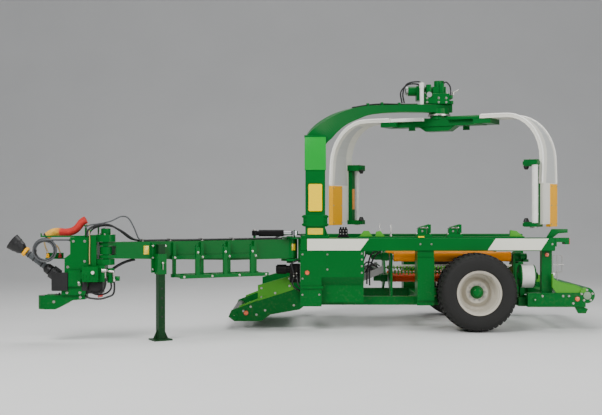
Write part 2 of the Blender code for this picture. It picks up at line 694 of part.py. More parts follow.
def build_drawbar():
    body("drawbar", (SWING_X, SWING_Y, DRAWBAR_TOP))
    turn = drawbar_frame()
    half = DRAWBAR_WIDTH / 2
    low, tip_low = DRAWBAR_LOW
    tip = DRAWBAR_LENGTH - 0.10 - CLEAR
    outline = [(0.0, low), (0.0, DRAWBAR_TOP), (tip, DRAWBAR_TOP), (tip, tip_low), (0.9, low)]
    beam = [plate("XZ", outline, (-half, half)), rod((0, 0, low), (0, 0, DRAWBAR_TOP), half + 0.02, sides=24)]
    thin = half - 0.004
    for z in ((DRAWBAR_TOP - FORK_T, DRAWBAR_TOP - 0.001), (tip_low + 0.001, tip_low + FORK_T)):
        beam.append(block((tip - 0.12, DRAWBAR_LENGTH), (-thin, thin), z))
        beam.append(rod((DRAWBAR_LENGTH, 0, z[0]), (DRAWBAR_LENGTH, 0, z[1]), half - 0.001))
    beam.append(block((RAM_LUG_AT - 0.07, RAM_LUG_AT + 0.06), (-0.055, 0.055), (DRAWBAR_TOP - 0.01, DRAWBAR_TOP + 0.02)))
    beam.append(rod((RAM_LUG_AT, 0, DRAWBAR_TOP), (RAM_LUG_AT, 0, RAM_Z + 0.045), RAM_PIN_R, sides=16))
    holes = [
        rod((x, 0, 0.5), (x, 0, 2.0), radius + PIN_CLEAR, sides=24)
        for x, radius in ((0, SWING_PIN_R), (DRAWBAR_LENGTH, HEAD_PIN_R))
    ]
    node("drawbar_beam", "drawbar", GREEN, beam, holes, frame=turn)

    # Rack for the spare film rolls, on the outer side of the drawbar: two rows of upright bars on trays.
    wall = half + GAP
    far = wall + RACK_DEPTH
    rack = [
        block((RACK_FROM, RACK_FROM + RACK_LENGTH), (wall, wall + 0.05), (1.02, 1.07)),
        block((RACK_FROM, RACK_FROM + RACK_LENGTH), (wall, wall + 0.05), (RACK_LOW, RACK_LOW + 0.045)),
        block((RACK_FROM, RACK_FROM + RACK_LENGTH), (far - 0.045, far), (RACK_LOW, RACK_LOW + 0.045)),
    ]
    pitch = (RACK_LENGTH - 0.08) / 3
    for i in range(4):
        x = RACK_FROM + 0.02 + i * pitch
        rack.append(block((x, x + 0.04), (wall + 0.001, wall + 0.04), (RACK_LOW + 0.01, 1.24)))
        rack.append(block((x, x + 0.04), (wall + 0.002, far - 0.001), (RACK_LOW + 0.006, RACK_LOW + 0.039)))
    for i in range(3):
        x = RACK_FROM + 0.02 + (i + 0.5) * pitch
        rack.append(block((x, x + 0.05), (far - 0.04, far - 0.002), (RACK_LOW + 0.004, 1.18)))
        rack.append(block((x - 0.06, x + 0.11), (wall + 0.02, far - 0.003), (RACK_LOW + 0.008, RACK_LOW + 0.036)))
    node("film_roll_rack", "drawbar", GREEN, rack, frame=turn)

    leg_y = half + 0.03 + LEG_SIZE / 2
    room = LEG_SIZE / 2 + PIN_CLEAR
    outer = room + 0.012
    sleeve = [
        block((LEG_AT - outer, LEG_AT + outer), (leg_y - outer, leg_y + outer), (0.84, 1.10)),
        block((LEG_AT - 0.10, LEG_AT + 0.10), (wall, leg_y - room - 0.002), (0.86, 1.24)),
    ]
    hole = block((LEG_AT - room, LEG_AT + room), (leg_y - room, leg_y + room), (0.5, 1.5))
    node("leg_sleeve", "drawbar", GREEN, sleeve, [hole], frame=turn)

    body("stand_leg", turn @ Vector((LEG_AT, leg_y, 0)), "drawbar")
    s = LEG_SIZE / 2
    leg = [
        block((LEG_AT - s, LEG_AT + s), (leg_y - s, leg_y + s), (0.012, LEG_TOP)),
        block((LEG_AT - FOOT[0] / 2, LEG_AT + FOOT[0] / 2), (leg_y - FOOT[1] / 2, leg_y + FOOT[1] / 2), (0.0, 0.02)),
    ]
    node("stand_leg", "stand_leg", GREEN, leg, frame=turn)


def build_swing():
    """Bracket on the frame that holds the drawbar's pin, and the cylinder that swings the drawbar."""
    root_low = DRAWBAR_LOW[0]
    eye = Vector((*RAM_EYE, 0))
    over = (DRAWBAR_TOP + CLEAR, DRAWBAR_TOP + CLEAR + 0.02)
    below = (root_low - CLEAR - 0.03, root_low - CLEAR)
    back = FRAME_FRONT - GAP
    plates = [block((back - 0.03, back), (SWING_Y - 0.14, SWING_Y + 0.14), (below[0] - 0.02, over[1] - 0.002))]
    for z, inset in ((over, 0.001), (below, 0.001)):
        plates.append(block((SWING_X, back - 0.001), (SWING_Y - 0.118, SWING_Y + 0.118), z))
        plates.append(rod((SWING_X, SWING_Y, z[0] + inset), (SWING_X, SWING_Y, z[1] - inset), 0.12, sides=24))
    lug = (over[0] + 0.002, over[1] - 0.003)
    plates.append(block((eye.x - 0.05, back - 0.002), (eye.y, SWING_Y), (over[0] + 0.003, over[1] - 0.004)))
    plates.append(rod((eye.x, eye.y, lug[0]), (eye.x, eye.y, lug[1]), 0.06))
    plates.append(rod((SWING_X, SWING_Y, below[0] - 0.03), (SWING_X, SWING_Y, over[1] + 0.012), SWING_PIN_R, sides=24))
    plates.append(rod((eye.x, eye.y, lug[0] + 0.002), (eye.x, eye.y, RAM_Z + 0.04), RAM_EYE_PIN_R, sides=16))
    node("swing_bracket", None, GREEN, plates)

    turn = drawbar_frame()
    start = turn @ Vector((RAM_LUG_AT, 0, RAM_Z))
    finish = Vector((*RAM_EYE, RAM_Z))
    ahead = (finish - start).normalized()
    length = (finish - start).length
    body("swing_cylinder", start, "drawbar")
    body("swing_rod", start + ahead * (length - 0.05), "swing_cylinder")
    gland = start + ahead * (length - 0.15)
    barrel = [
        rod(start + ahead * 0.06, gland, RAM_R, sides=24),
        rod(start + ahead * 0.02, start + ahead * 0.08, 0.03, sides=16),
        rod(start - Vector((0, 0, 0.032)), start + Vector((0, 0, 0.032)), 0.035, sides=20),
    ]
    cuts = [
        rod(start - Vector((0, 0, 0.1)), start + Vector((0, 0, 0.1)), RAM_PIN_R + PIN_CLEAR, sides=16),
        rod(start + ahead * 0.09, gland + ahead * 0.1, RAM_ROD_R + PIN_CLEAR, sides=16),
    ]
    node("swing_cylinder_barrel", "swing_cylinder", BLACK, barrel, cuts)
    eye_bore = RAM_EYE_PIN_R + RAM_EYE_SLACK
    stem = [
        rod(start + ahead * 0.12, finish - ahead * 0.02, RAM_ROD_R, sides=16),
        rod(finish - Vector((0, 0, 0.03)), finish + Vector((0, 0, 0.03)), eye_bore + 0.018, sides=20),
    ]
    hole = rod(finish - Vector((0, 0, 0.1)), finish + Vector((0, 0, 0.1)), eye_bore, sides=16)
    node("swing_cylinder_rod", "swing_rod", STEEL, stem, [hole])


# ---------------------------------------------------------------- hitch head
def head_centre():
    return drawbar_frame() @ Vector((DRAWBAR_LENGTH, 0, 0))


def build_head():
    """Turning head: pivot block, neck with the hitch bar, pump, gearbox and the sloping drive shaft."""
    at = head_centre()
    body("hitch_head", (at.x, at.y, HITCH_Z[0]), "drawbar")
    x, y = at.x, at.y
    tip_low = DRAWBAR_LOW[1]
    over, under = DRAWBAR_TOP + CLEAR, tip_low - CLEAR
    back = (x - HEAD_BACK, x - DRAWBAR_WIDTH / 2 - 2 * CLEAR)
    pivot = [
        rod((x, y, tip_low + FORK_T + CLEAR), (x, y, DRAWBAR_TOP - FORK_T - CLEAR), 0.075),
        rod((x, y, 0.99), (x, y, 1.40), HEAD_PIN_R),
        rod((x, y, over), (x, y, 1.35), 0.12, sides=24),
        rod((x, y, 1.345), (x, y, 1.425), 0.06),
        rod((x, y, 0.972), (x, y, under), 0.11, sides=24),
        block((back[0] + 0.01, x), (y - 0.09, y + 0.09), (over + 0.001, 1.345)),
        block((back[0] + 0.01, x), (y - 0.09, y + 0.09), (0.975, under - 0.001)),
        block(back, (y - 0.12, y + 0.12), (0.97, 1.34)),
    ]
    node("head_pivot_block", "hitch_head", GREEN, pivot)

    join = x - HEAD_BACK - GAP
    outline = [
        (join, 1.32),
        (x - 0.42, 1.32),
        (x - 0.42, 1.11),
        (x - 0.49, 1.06),
        (x - 0.49, 0.88),
        (x - 0.53, 0.64),
        (x - 0.53, HITCH_BAR_TOP + GAP),
        (x - 0.24, HITCH_BAR_TOP + GAP),
        (x - 0.20, 0.72),
        (join, 0.80),
    ]
    inner = NECK_HALF - 0.022
    neck = [plate("XZ", outline, mirror_y(side, inner, NECK_HALF)) for _, side in SIDES]
    neck += [
        block((join - 0.03, join - 0.002), (-inner - 0.01 + y, inner + 0.01 + y), (0.90, 1.31)),
        block((x - 0.415, x - 0.395), (y - inner - 0.01, y + inner + 0.01), (1.115, 1.315)),
        block((x - 0.41, join - 0.01), (y - inner - 0.01, y + inner + 0.01), (1.295, 1.313)),
        block((x - 0.51, x - 0.26), (y - inner - 0.01, y + inner + 0.01), (HITCH_BAR_TOP + 0.005, HITCH_BAR_TOP + 0.035)),
        block((x - 0.485, x - 0.47), (y - inner - 0.01, y + inner + 0.01), (0.66, 1.05)),
    ]
    for obj in neck[:2]:
        place(obj, Matrix.Translation((0, y, 0)))
    node("hitch_neck", "hitch_head", GREEN, neck)
    front = x - HITCH_REACH
    low = HITCH_BAR_TOP - 0.18
    line = [
        (front, HITCH_BAR_TOP),
        (x - 0.24, HITCH_BAR_TOP),
        (x - 0.24, HITCH_BAR_TOP - 0.055),
        (x - 0.40, HITCH_BAR_TOP - 0.066),
        (x - 0.50, HITCH_BAR_TOP - 0.123),
        (x - 0.61, low),
        (front, low),
    ]
    bar = [
        plate("XZ", line, (y - 0.10, y + 0.10)),
        rod((front, y, low + 0.002), (front, y, HITCH_BAR_TOP - 0.012), 0.098, sides=24),
    ]
    ring = rod((front, y, low - 0.1), (front, y, HITCH_BAR_TOP + 0.1), HITCH_PIN_R, sides=20)
    node("hitch_bar", "hitch_head", GREEN, bar, [ring])

    near = y - NECK_HALF - GAP
    pump = [
        block((x - 0.20, x + 0.01), (y - 0.13, y + 0.10), (0.765, 0.97 - GAP)),
        block((x - 0.436, x - 0.283), (near - 0.03, near), (0.71, 0.91)),
        block((x - 0.29, x - 0.15), (near - 0.028, near - 0.002), (0.80, 0.89)),
        block((x - 0.255, x - 0.06), (near - 0.09, near - 0.001), (0.77, 0.955)),
        block((x - 0.195, x - 0.15), (near - 0.026, y - 0.10), (0.80, 0.885)),
        rod((x - 0.01, y - 0.04, 0.87), (x + 0.09, y - 0.04, 0.87), 0.05),
        rod((x + 0.07, y - 0.04, 0.93), (x + 0.07, y - 0.04, 0.75), 0.045),
        rod((x + 0.06, y - 0.04, 0.80), (x + 0.18, y - 0.04, 0.80), 0.03, sides=16),
    ]
    node("hydraulic_pump", "hitch_head", GREEN, pump)

    # The drive shaft leaves the gearbox on the neck and slopes up to where the tractor takes it.
    wall = x - 0.53 - GAP
    start = Vector((x - 0.60, y, SHAFT_Z))
    ahead = Vector((-math.cos(SHAFT_SLOPE), 0, math.sin(SHAFT_SLOPE)))
    gearbox = [
        block((wall - 0.12, wall), (y - 0.10, y + 0.10), (0.65, 0.87)),
        block((wall - 0.11, wall - 0.002), (near - 0.028, y - 0.09), (0.67, 0.86)),
        block((wall - 0.115, x - 0.445), (near - 0.03, near), (0.66, 0.88)),
        rod(start, start + ahead * 0.10, 0.085),
    ]
    bore = rod(start + ahead * 0.03, start + ahead * 0.3, 0.022, sides=16)
    node("shaft_gearbox", "hitch_head", BLACK, gearbox, [bore])
    body("drive_shaft", start + ahead * 0.3, "hitch_head")
    shaft = [
        rod(start + ahead * 0.04, start + ahead * 0.20, 0.018, sides=16),
        rod(start + ahead * 0.11, start + ahead * 0.19, 0.06, 0.045),
        rod(start + ahead * 0.18, start + ahead * (SHAFT_LENGTH - 0.16), 0.04),
        rod(start + ahead * (SHAFT_LENGTH - 0.18), start + ahead * SHAFT_LENGTH, 0.05, 0.105, sides=24),
    ]
    node("drive_shaft", "drive_shaft", BLACK, shaft)

    # Stand for the hoses, with an arm that the cable coil hangs from.
    base = 1.32 + GAP
    hang = y + COIL_AT[1]
    stand = [
        block((x - 0.27, x - 0.23), (y - 0.05, y + 0.05), (base, base + 0.02)),
        block((x - 0.26, x - 0.24), (y - 0.02, y + 0.02), (base + 0.01, HOSE_Z)),
        block((x - 0.262, x - 0.235), (y - 0.06, y + 0.06), (HOSE_Z - 0.015, HOSE_Z)),
        block((x - 0.25, x - 0.238), (y + COIL_AT[1] - 0.012, y - 0.02), (base + 0.004, base + 0.018)),
        block((x - COIL_AT[0] - 0.05, x - 0.24), (hang - 0.012, hang + 0.012), (base + 0.002, base + 0.02)),
        block((x - COIL_AT[0] - 0.05, x - COIL_AT[0] - 0.038), (hang - 0.012, hang + 0.012), (base + 0.004, base + 0.05)),
    ]
    node("hose_stand", "hitch_head", GREEN, stand)
    route = [
        (x - 0.25, y, HOSE_Z + HOSE_R + 0.018),
        (x - 0.30, y, 1.506),
        (x - 0.355, y, 1.435),
        (x - 0.42, y + 0.005, 1.392),
        (x - 0.51, y + 0.01, 1.378),
        (x - 0.60, y + 0.015, 1.386),
        (x - 0.68, y + 0.02, 1.372),
        (x - 0.74, y + 0.02, 1.33),
    ]
    step = HOSE_R * 2
    node("hose_bundle", "hitch_head", RED, [tube(smooth_path(route, step), HOSE_R, 2)])
    coil = [
        (COIL_R + 0.035 * math.cos(a), 0.03 * math.sin(a)) for a in (math.radians(90 - 45 * i) for i in range(8))
    ]
    coil_at = (x - COIL_AT[0], hang, base + 0.002 - GAP - COIL_R - 0.035)
    node("cable_coil", "hitch_head", BLACK, [place(turned(coil, 24, closed=True), along_y(coil_at))])
    route = [
        (x - 0.421, y - 0.10, 1.285),
        (x - 0.47, y - 0.10, 1.286),
        (x - 0.55, y - 0.105, 1.2865),
        (x - 0.612, y - 0.11, 1.287),
    ]
    node("cable_lead", "hitch_head", BLACK, [tube(smooth_path(route, CABLE_R * 4), CABLE_R, 2)])


def build_infeed():
    """The tilting infeed table: two side plates with guards, a deck between them and a nose roller."""
    body("infeed", (INFEED_X, 0, INFEED_Z))
    nose_x, nose_z, nose_r = INFEED_NOSE
    inside = INFEED_HALF - INFEED_SIDE
    side_line = [
        (nose_x, 0.11),
        (nose_x - 0.08, 0.17),
        (nose_x - 0.04, 0.26),
        (-0.60, 0.40),
        (-0.12, 0.56),
        (INFEED_X + 0.03, 0.52),
        (INFEED_X + 0.05, 0.37),
        (-0.02, 0.27),
        (-0.43, 0.20),
        (-0.55, 0.11),
    ]
    guard_line = [(-0.60, 0.39), (-0.60, 0.61), (-0.17, 0.733), (-0.10, 0.73), (-0.10, 0.55)]
    pieces, holes = [], []
    for _, side in SIDES:
        pieces.append(plate("XZ", side_line, mirror_y(side, inside, INFEED_HALF)))
        pieces.append(plate("XZ", guard_line, mirror_y(side, INFEED_HALF - 0.02, INFEED_HALF + 0.006)))
        ends = [(INFEED_X, side * y, INFEED_Z) for y in (0.7, 1.1)]
        holes.append(rod(*ends, INFEED_PIN_R + PIN_CLEAR, sides=20))
        ends = [(nose_x, side * y, nose_z) for y in (0.7, 1.1)]
        holes.append(rod(*ends, 0.02 + PIN_CLEAR, sides=16))
    reach = inside + 0.01
    pieces += [block((x, x + 0.08), (-reach, reach), (z, z + 0.06)) for x, z in ((-0.14, 0.33), (-0.55, 0.21))]
    pieces.append(plate("XZ", [(-0.80, 0.225), (-0.08, 0.46), (-0.08, 0.40), (-0.79, 0.18)], (-0.70, 0.70)))
    node("infeed_table", "infeed", GREEN, pieces, holes)
    body("infeed_roller", (nose_x, 0, nose_z), "infeed")
    wall = inside - CLEAR
    shaft = INFEED_HALF - 0.01
    node(
        "infeed_roller",
        "infeed_roller",
        STEEL,
        [
            rod((nose_x, -wall, nose_z), (nose_x, wall, nose_z), nose_r, sides=20),
            rod((nose_x, -shaft, nose_z), (nose_x, shaft, nose_z), 0.02, sides=16),
        ],
    )


def build_tail():
    body("tail", (TAIL_X, 0, TAIL_Z))
    rx, rz, rr = TAIL_ROLLER
    inner = TAIL_ARM_Y[0]
    pieces, holes = [block((3.56, 3.68), (-inner - 0.02, inner + 0.02), (0.34, 0.46))], []
    for _, side in SIDES:
        y = mirror_y(side, *TAIL_ARM_Y)
        pieces += [
            block((TAIL_X - 0.10, rx - 0.04), y, (0.33, 0.52)),
            rod((rx - 0.02, y[0], rz), (rx - 0.02, y[1], rz), rr, sides=24),
            plate("XZ", [(3.74, 0.35), (3.80, 0.24), (3.90, 0.24), (3.93, 0.30), (3.85, 0.34), (3.88, 0.42)], (side * 1.05, side * 1.09)),
        ]
        holes += [
            rod((TAIL_X, side * 0.9, TAIL_Z), (TAIL_X, side * 1.3, TAIL_Z), 0.03 + PIN_CLEAR, sides=20),
            rod((rx, side * 0.9, rz), (rx, side * 1.3, rz), 0.025 + PIN_CLEAR, sides=16),
        ]
        pieces.append(plate("XZ", TAIL_GUARD, mirror_y(side, 1.03, 1.10)))
    node("tail_frame", "tail", GREEN, pieces, holes)
    body("tail_roller", (rx, 0, rz), "tail")
    width = TAIL_ARM_Y[0] - CLEAR
    node(
        "tail_roller",
        "tail_roller",
        STEEL,
        [
            rod((rx, -width, rz), (rx, width, rz), rr, sides=24),
            rod((rx, -TAIL_ARM_Y[1] + 0.01, rz), (rx, TAIL_ARM_Y[1] - 0.01, rz), 0.025, sides=16),
        ],
    )


# ---------------------------------------------------------------- equipment on the frame
def build_equipment():
    """Film cutters and catchers along the near beam, the rear lamp bracket and the roller drive."""
    top = BEAM_TOP + GAP
    y = -FRAME_HALF + BEAM_W / 2
    wide, narrow = (y - 0.05, y + 0.05), (y - 0.03, y + 0.03)
    pieces = [block((0.78, 3.06), wide, (top, top + 0.015))]
    for x in (1.68, 2.10):
        pieces += [
            block((x - 0.10, x + 0.11), (y - 0.07, y + 0.07), (top + 0.002, top + 0.05)),
            block((x - 0.08, x + 0.04), (y - 0.048, y + 0.048), (top + 0.04, top + 0.13)),
            block((x + 0.05, x + 0.10), (y - 0.028, y + 0.028), (top + 0.04, top + 0.18)),
            rod((x - 0.06, y, top + 0.125), (x + 0.08, y, top + 0.165), 0.022, sides=16),
        ]
    for line in (
        [(0.80, 0.01), (0.86, 0.09), (0.93, 0.09), (0.98, 0.01)],
        [(1.02, 0.01), (1.03, 0.08), (1.09, 0.09), (1.15, 0.01)],
        [(2.86, 0.01), (2.87, 0.10), (2.95, 0.09), (3.05, 0.01)],
    ):
        pieces.append(plate("XZ", [(u, top + v) for u, v in line], narrow))
    node("film_cutters", None, GREEN, pieces)
    end = FRAME_REAR + GAP
    outer = -FRAME_HALF
    lamp = [
        block((end, end + 0.02), (outer, outer + BEAM_W), (BEAM_TOP - 0.12, BEAM_TOP - 0.01)),
        block((end, 3.66), (outer + 0.002, outer + 0.04), (BEAM_TOP - 0.06, BEAM_TOP)),
        block((3.60, 3.66), (outer + 0.004, outer + 0.16), (BEAM_TOP - 0.09, BEAM_TOP - 0.002)),
    ]
    node("rear_light_bracket", None, GREEN, lamp)
    front = RAIL_BOTTOM + RAIL_H
    drum_y, drum_z = -0.80, 0.734
    drum = [
        rod((3.05, drum_y, drum_z), (3.25, drum_y, drum_z), 0.16, sides=28),
        rod((3.02, drum_y, drum_z), (3.30, drum_y, drum_z), 0.05),
        block((CROSS_REAR_X[0] + 0.05, CROSS_REAR_X[1] - 0.01), (drum_y - 0.05, drum_y + 0.05), (front + GAP, drum_z)),
    ]
    node("roller_drive_drum", None, GREEN, drum)


def centre_on_ground():
    """Stands the machine on z = 0 with the middle of its outline at the origin."""
    bpy.context.view_layer.update()
    corners = [
        obj.matrix_world @ vertex.co for obj in PARTS.objects if obj.type == "MESH" for vertex in obj.data.vertices
    ]
    low = [min(c[i] for c in corners) for i in range(3)]
    high = [max(c[i] for c in corners) for i in range(3)]
    shift = Vector((-(low[0] + high[0]) / 2, -(low[1] + high[1]) / 2, -low[2]))
    for obj in PARTS.objects:
        if obj.parent is None:
            obj.location += shift


build_chassis()
build_cradle()
build_rollers()
build_wheels()
build_arch()
build_satellite()
build_drawbar()
build_swing()
build_head()
build_infeed()
build_tail()
build_equipment()
centre_on_ground()
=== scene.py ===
"""Looks of the bale wrapper: paint and rubber, wheels, hoses, fittings, signs, and a plain studio."""
import math

import bpy
from mathutils import Matrix, Vector


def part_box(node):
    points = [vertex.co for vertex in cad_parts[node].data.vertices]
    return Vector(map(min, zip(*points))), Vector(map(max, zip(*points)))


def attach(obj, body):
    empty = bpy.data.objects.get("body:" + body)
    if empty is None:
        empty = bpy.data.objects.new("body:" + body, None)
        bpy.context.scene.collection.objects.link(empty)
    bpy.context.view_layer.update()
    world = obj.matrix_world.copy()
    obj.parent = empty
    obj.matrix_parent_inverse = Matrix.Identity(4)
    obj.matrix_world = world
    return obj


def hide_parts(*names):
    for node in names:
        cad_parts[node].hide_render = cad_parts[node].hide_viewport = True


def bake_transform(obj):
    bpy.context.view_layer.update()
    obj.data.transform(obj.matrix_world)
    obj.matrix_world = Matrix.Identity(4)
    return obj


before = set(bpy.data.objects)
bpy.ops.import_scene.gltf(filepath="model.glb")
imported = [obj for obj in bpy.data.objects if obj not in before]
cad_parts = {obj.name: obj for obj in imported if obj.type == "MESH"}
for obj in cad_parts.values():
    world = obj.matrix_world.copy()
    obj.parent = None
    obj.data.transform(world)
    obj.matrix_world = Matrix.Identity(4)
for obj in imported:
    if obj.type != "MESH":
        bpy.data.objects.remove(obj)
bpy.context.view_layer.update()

# ---------------------------------------------------------------- places
BEAM_LOW, BEAM_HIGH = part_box("side_beam_left")
FRONT_EDGE, HALF_WIDTH = -0.01, 1.14  # where the side beam starts, from the frame's own zero
ZERO = Vector((BEAM_LOW[0] - FRONT_EDGE, BEAM_LOW[1] + HALF_WIDTH, 0))
BEAM_TOP = BEAM_HIGH[2]
NEAR = -HALF_WIDTH
SWING_PIN = (-0.155, -0.95)
DRAWBAR_ANGLE = math.radians(210)
DRAWBAR_LENGTH = 2.65
DRAWBAR_TOP = BEAM_TOP - 0.022
ARM_ANGLE = math.radians(-30)
PIVOT = (2.034, 0)
ARM_OUT, ARM_TOP = 1.655, 3.01
ARM_BEND_R, ARM_SHOULDER_Z = 1.10, 2.36  # where the arm's bend starts and ends
INFEED_NOSE_X = -0.93
LEG_ALONG = 1.98
SIDES = (("left", -1), ("right", 1))
UP = Vector((0, 0, 1))
ACROSS = Vector((0, 1, 0))
ALONG = Vector((1, 0, 0))


def at(x, y, z):
    """A place in the frame's own measure: x back from its front, y from its middle, z above the ground."""
    return ZERO + Vector((x, y, z))


def on_drawbar(along, aside, z):
    """A place on the drawbar: along it from the swing pin, to its outer side, and above the ground."""
    c, s = math.cos(DRAWBAR_ANGLE), math.sin(DRAWBAR_ANGLE)
    return at(SWING_PIN[0] + along * c - aside * s, SWING_PIN[1] + along * s + aside * c, z)


def on_head(x, y, z):
    """A place on the hitch head, from its pin."""
    return on_drawbar(DRAWBAR_LENGTH, 0, 0) + Vector((x, y, z))


def on_arm(which, out, aside, z):
    """A place on a film arm: out from the pivot, aside from the arm's middle, and above the ground."""
    turn = ARM_ANGLE + (math.pi if which == "front" else 0)
    c, s = math.cos(turn), math.sin(turn)
    return at(PIVOT[0] + out * c - aside * s, PIVOT[1] + out * s + aside * c, z)


def arm_way(which, x, y):
    turn = ARM_ANGLE + (math.pi if which == "front" else 0)
    return Matrix.Rotation(turn, 3, "Z") @ Vector((x, y, 0))


def aim(point, way):
    """Stands a shape that points up at a point, so that it points another way."""
    return Matrix.Translation(point) @ Vector(way).to_track_quat("Z", "Y").to_matrix().to_4x4()


# ---------------------------------------------------------------- modelling
def deselect():
    for obj in bpy.context.selected_objects:
        obj.select_set(False)


def pick(obj):
    deselect()
    obj.select_set(True)
    bpy.context.view_layer.objects.active = obj


def settle(obj):
    """Puts an object's place, turn and size into its mesh."""
    pick(obj)
    bpy.ops.object.transform_apply(location=True, rotation=True, scale=True)
    return obj


def moved(obj, matrix):
    obj.data.transform(matrix)
    return obj


def rounded(obj, width, segments=2):
    pick(obj)
    edge = obj.modifiers.new("edge", "BEVEL")
    edge.width = width
    edge.segments = segments
    edge.limit_method = "ANGLE"
    bpy.ops.object.modifier_apply(modifier=edge.name)
    return obj


def block(low, high, edge=0.004):
    deselect()
    low, high = Vector(low), Vector(high)
    bpy.ops.mesh.primitive_cube_add(size=1, location=(low + high) / 2, scale=high - low)
    return rounded(settle(bpy.context.object), edge)


def rod(start, end, radius, sides=24, edge=0.002):
    deselect()
    start, end = Vector(start), Vector(end)
    bpy.ops.mesh.primitive_cylinder_add(vertices=sides, radius=radius, depth=(end - start).length)
    made = moved(bpy.context.object, aim((start + end) / 2, end - start))
    return rounded(made, edge, 1)


def plate(outline, thick, edge=0.002):
    """A flat outline of places, one after the other, made thick along a vector."""
    deselect()
    bpy.ops.mesh.primitive_circle_add(vertices=len(outline), radius=1, fill_type="NGON")
    obj = bpy.context.object
    for vertex, place in zip(obj.data.vertices, outline):
        vertex.co = place
    bpy.ops.object.mode_set(mode="EDIT")
    bpy.ops.mesh.select_all(action="SELECT")
    bpy.ops.mesh.extrude_region_move(TRANSFORM_OT_translate={"value": thick})
    bpy.ops.mesh.select_all(action="SELECT")
    bpy.ops.mesh.normals_make_consistent(inside=False)
    bpy.ops.object.mode_set(mode="OBJECT")
    return rounded(obj, edge) if edge else obj


def turned(profile, centre, axis, steps=48):
    """A profile of (radius, height) pairs spun about an axis through a centre."""
    deselect()
    bpy.ops.mesh.primitive_plane_add(size=1)
    obj = bpy.context.object
    bpy.ops.object.mode_set(mode="EDIT")
    bpy.ops.mesh.select_all(action="SELECT")
    bpy.ops.mesh.merge(type="CENTER")
    before = Vector((0, 0, 0))
    for radius, height in profile:
        step = Vector((radius, 0, height)) - before
        if before.length == 0:
            bpy.ops.transform.translate(value=step)
        else:
            bpy.ops.mesh.extrude_region_move(TRANSFORM_OT_translate={"value": step})
        before = before + step
    bpy.ops.mesh.select_all(action="SELECT")
    bpy.ops.mesh.spin(steps=steps, angle=2 * math.pi, center=(0, 0, 0), axis=(0, 0, 1))
    bpy.ops.mesh.select_all(action="SELECT")
    bpy.ops.mesh.remove_doubles(threshold=0.00005)
    bpy.ops.mesh.normals_make_consistent(inside=False)
    bpy.ops.object.mode_set(mode="OBJECT")
    return moved(obj, aim(centre, axis))


def smooth_path(points, step):
    """Points along a smooth curve through the given points, about one step apart."""
    points = [Vector(p) for p in points]
    ends = [2 * points[0] - points[1], *points, 2 * points[-1] - points[-2]]
    found = []
    for a, b, c, d in zip(ends, ends[1:], ends[2:], ends[3:]):
        count = max(1, round((c - b).length / step))
        for i in range(count):
            t = i / count
            bent = (2 * a - 5 * b + 4 * c - d) * t**2 + (3 * b - a - 3 * c + d) * t**3
            found.append(0.5 * (2 * b + (c - a) * t + bent))
    return [*found, points[-1]]


def path_length(points):
    return sum((b - a).length for a, b in zip(points, points[1:]))


def hose(points, radius, resolution=3):
    """A round hose along points, with closed ends."""
    curve = bpy.data.curves.new("hose", "CURVE")
    curve.dimensions = "3D"
    curve.bevel_depth = radius
    curve.bevel_resolution = resolution
    curve.use_fill_caps = True
    spline = curve.splines.new("POLY")
    spline.points.add(len(points) - 1)
    for point, place in zip(spline.points, points):
        point.co = (*place, 1)
    obj = bpy.data.objects.new("hose", curve)
    bpy.context.collection.objects.link(obj)
    pick(obj)
    bpy.ops.object.convert(target="MESH")
    return bpy.context.object


def run(*points, radius=0.011, step=0.03):
    return hose(smooth_path(points, step), radius)


def run_on(place, *points, radius=0.011, step=0.03):
    """A hose through points that a place function reads."""
    return run(*(place(*point) for point in points), radius=radius, step=step)


def rods(place, *rows):
    """Rods from rows of start, end, radius and sides, read by a place function."""
    return [rod(place(*start), place(*end), *rest) for start, end, *rest in rows]


def blocks(place, *rows):
    """Blocks from rows of low corner, high corner and edge, read by a place function."""
    return [block(place(*low), place(*high), *rest) for low, high, *rest in rows]


def join(parts):
    pick(parts[0])
    for part in parts[1:]:
        part.select_set(True)
    if len(parts) > 1:
        bpy.ops.object.join()
    return bpy.context.object


def copies(model, places):
    """Copies of a model at each place, in one mesh; the model itself goes."""
    made = []
    for place in places:
        twin = model.copy()
        twin.data = model.data.copy()
        bpy.context.collection.objects.link(twin)
        made.append(moved(twin, place))
    bpy.data.objects.remove(model, do_unlink=True)
    return join(made)


def bolt(size=0.012):
    """A hexagon head on a washer, pointing up from zero."""
    washer = rod((0, 0, -0.001), (0, 0, size * 0.25), size * 1.35, 16, size * 0.06)
    head = rod((0, 0, size * 0.2), (0, 0, size * 0.95), size, 6, size * 0.1)
    end = rod((0, 0, size * 0.9), (0, 0, size * 1.35), size * 0.5, 10, size * 0.1)
    return join([washer, head, end])


def bolts(places, size=0.012):
    """Bolts at (place, direction) pairs."""
    return copies(bolt(size), [aim(place, way) for place, way in places])


def piece(name, parts, finish, body="chassis", angle=35):
    """Names a finished piece, gives it its finish and lets it ride on a body."""
    obj = join(parts)
    obj.name = name
    pick(obj)
    bpy.ops.object.shade_smooth_by_angle(angle=math.radians(angle))
    obj.data.materials.clear()
    obj.data.materials.append(finish)
    if body:
        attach(obj, body)
    return obj


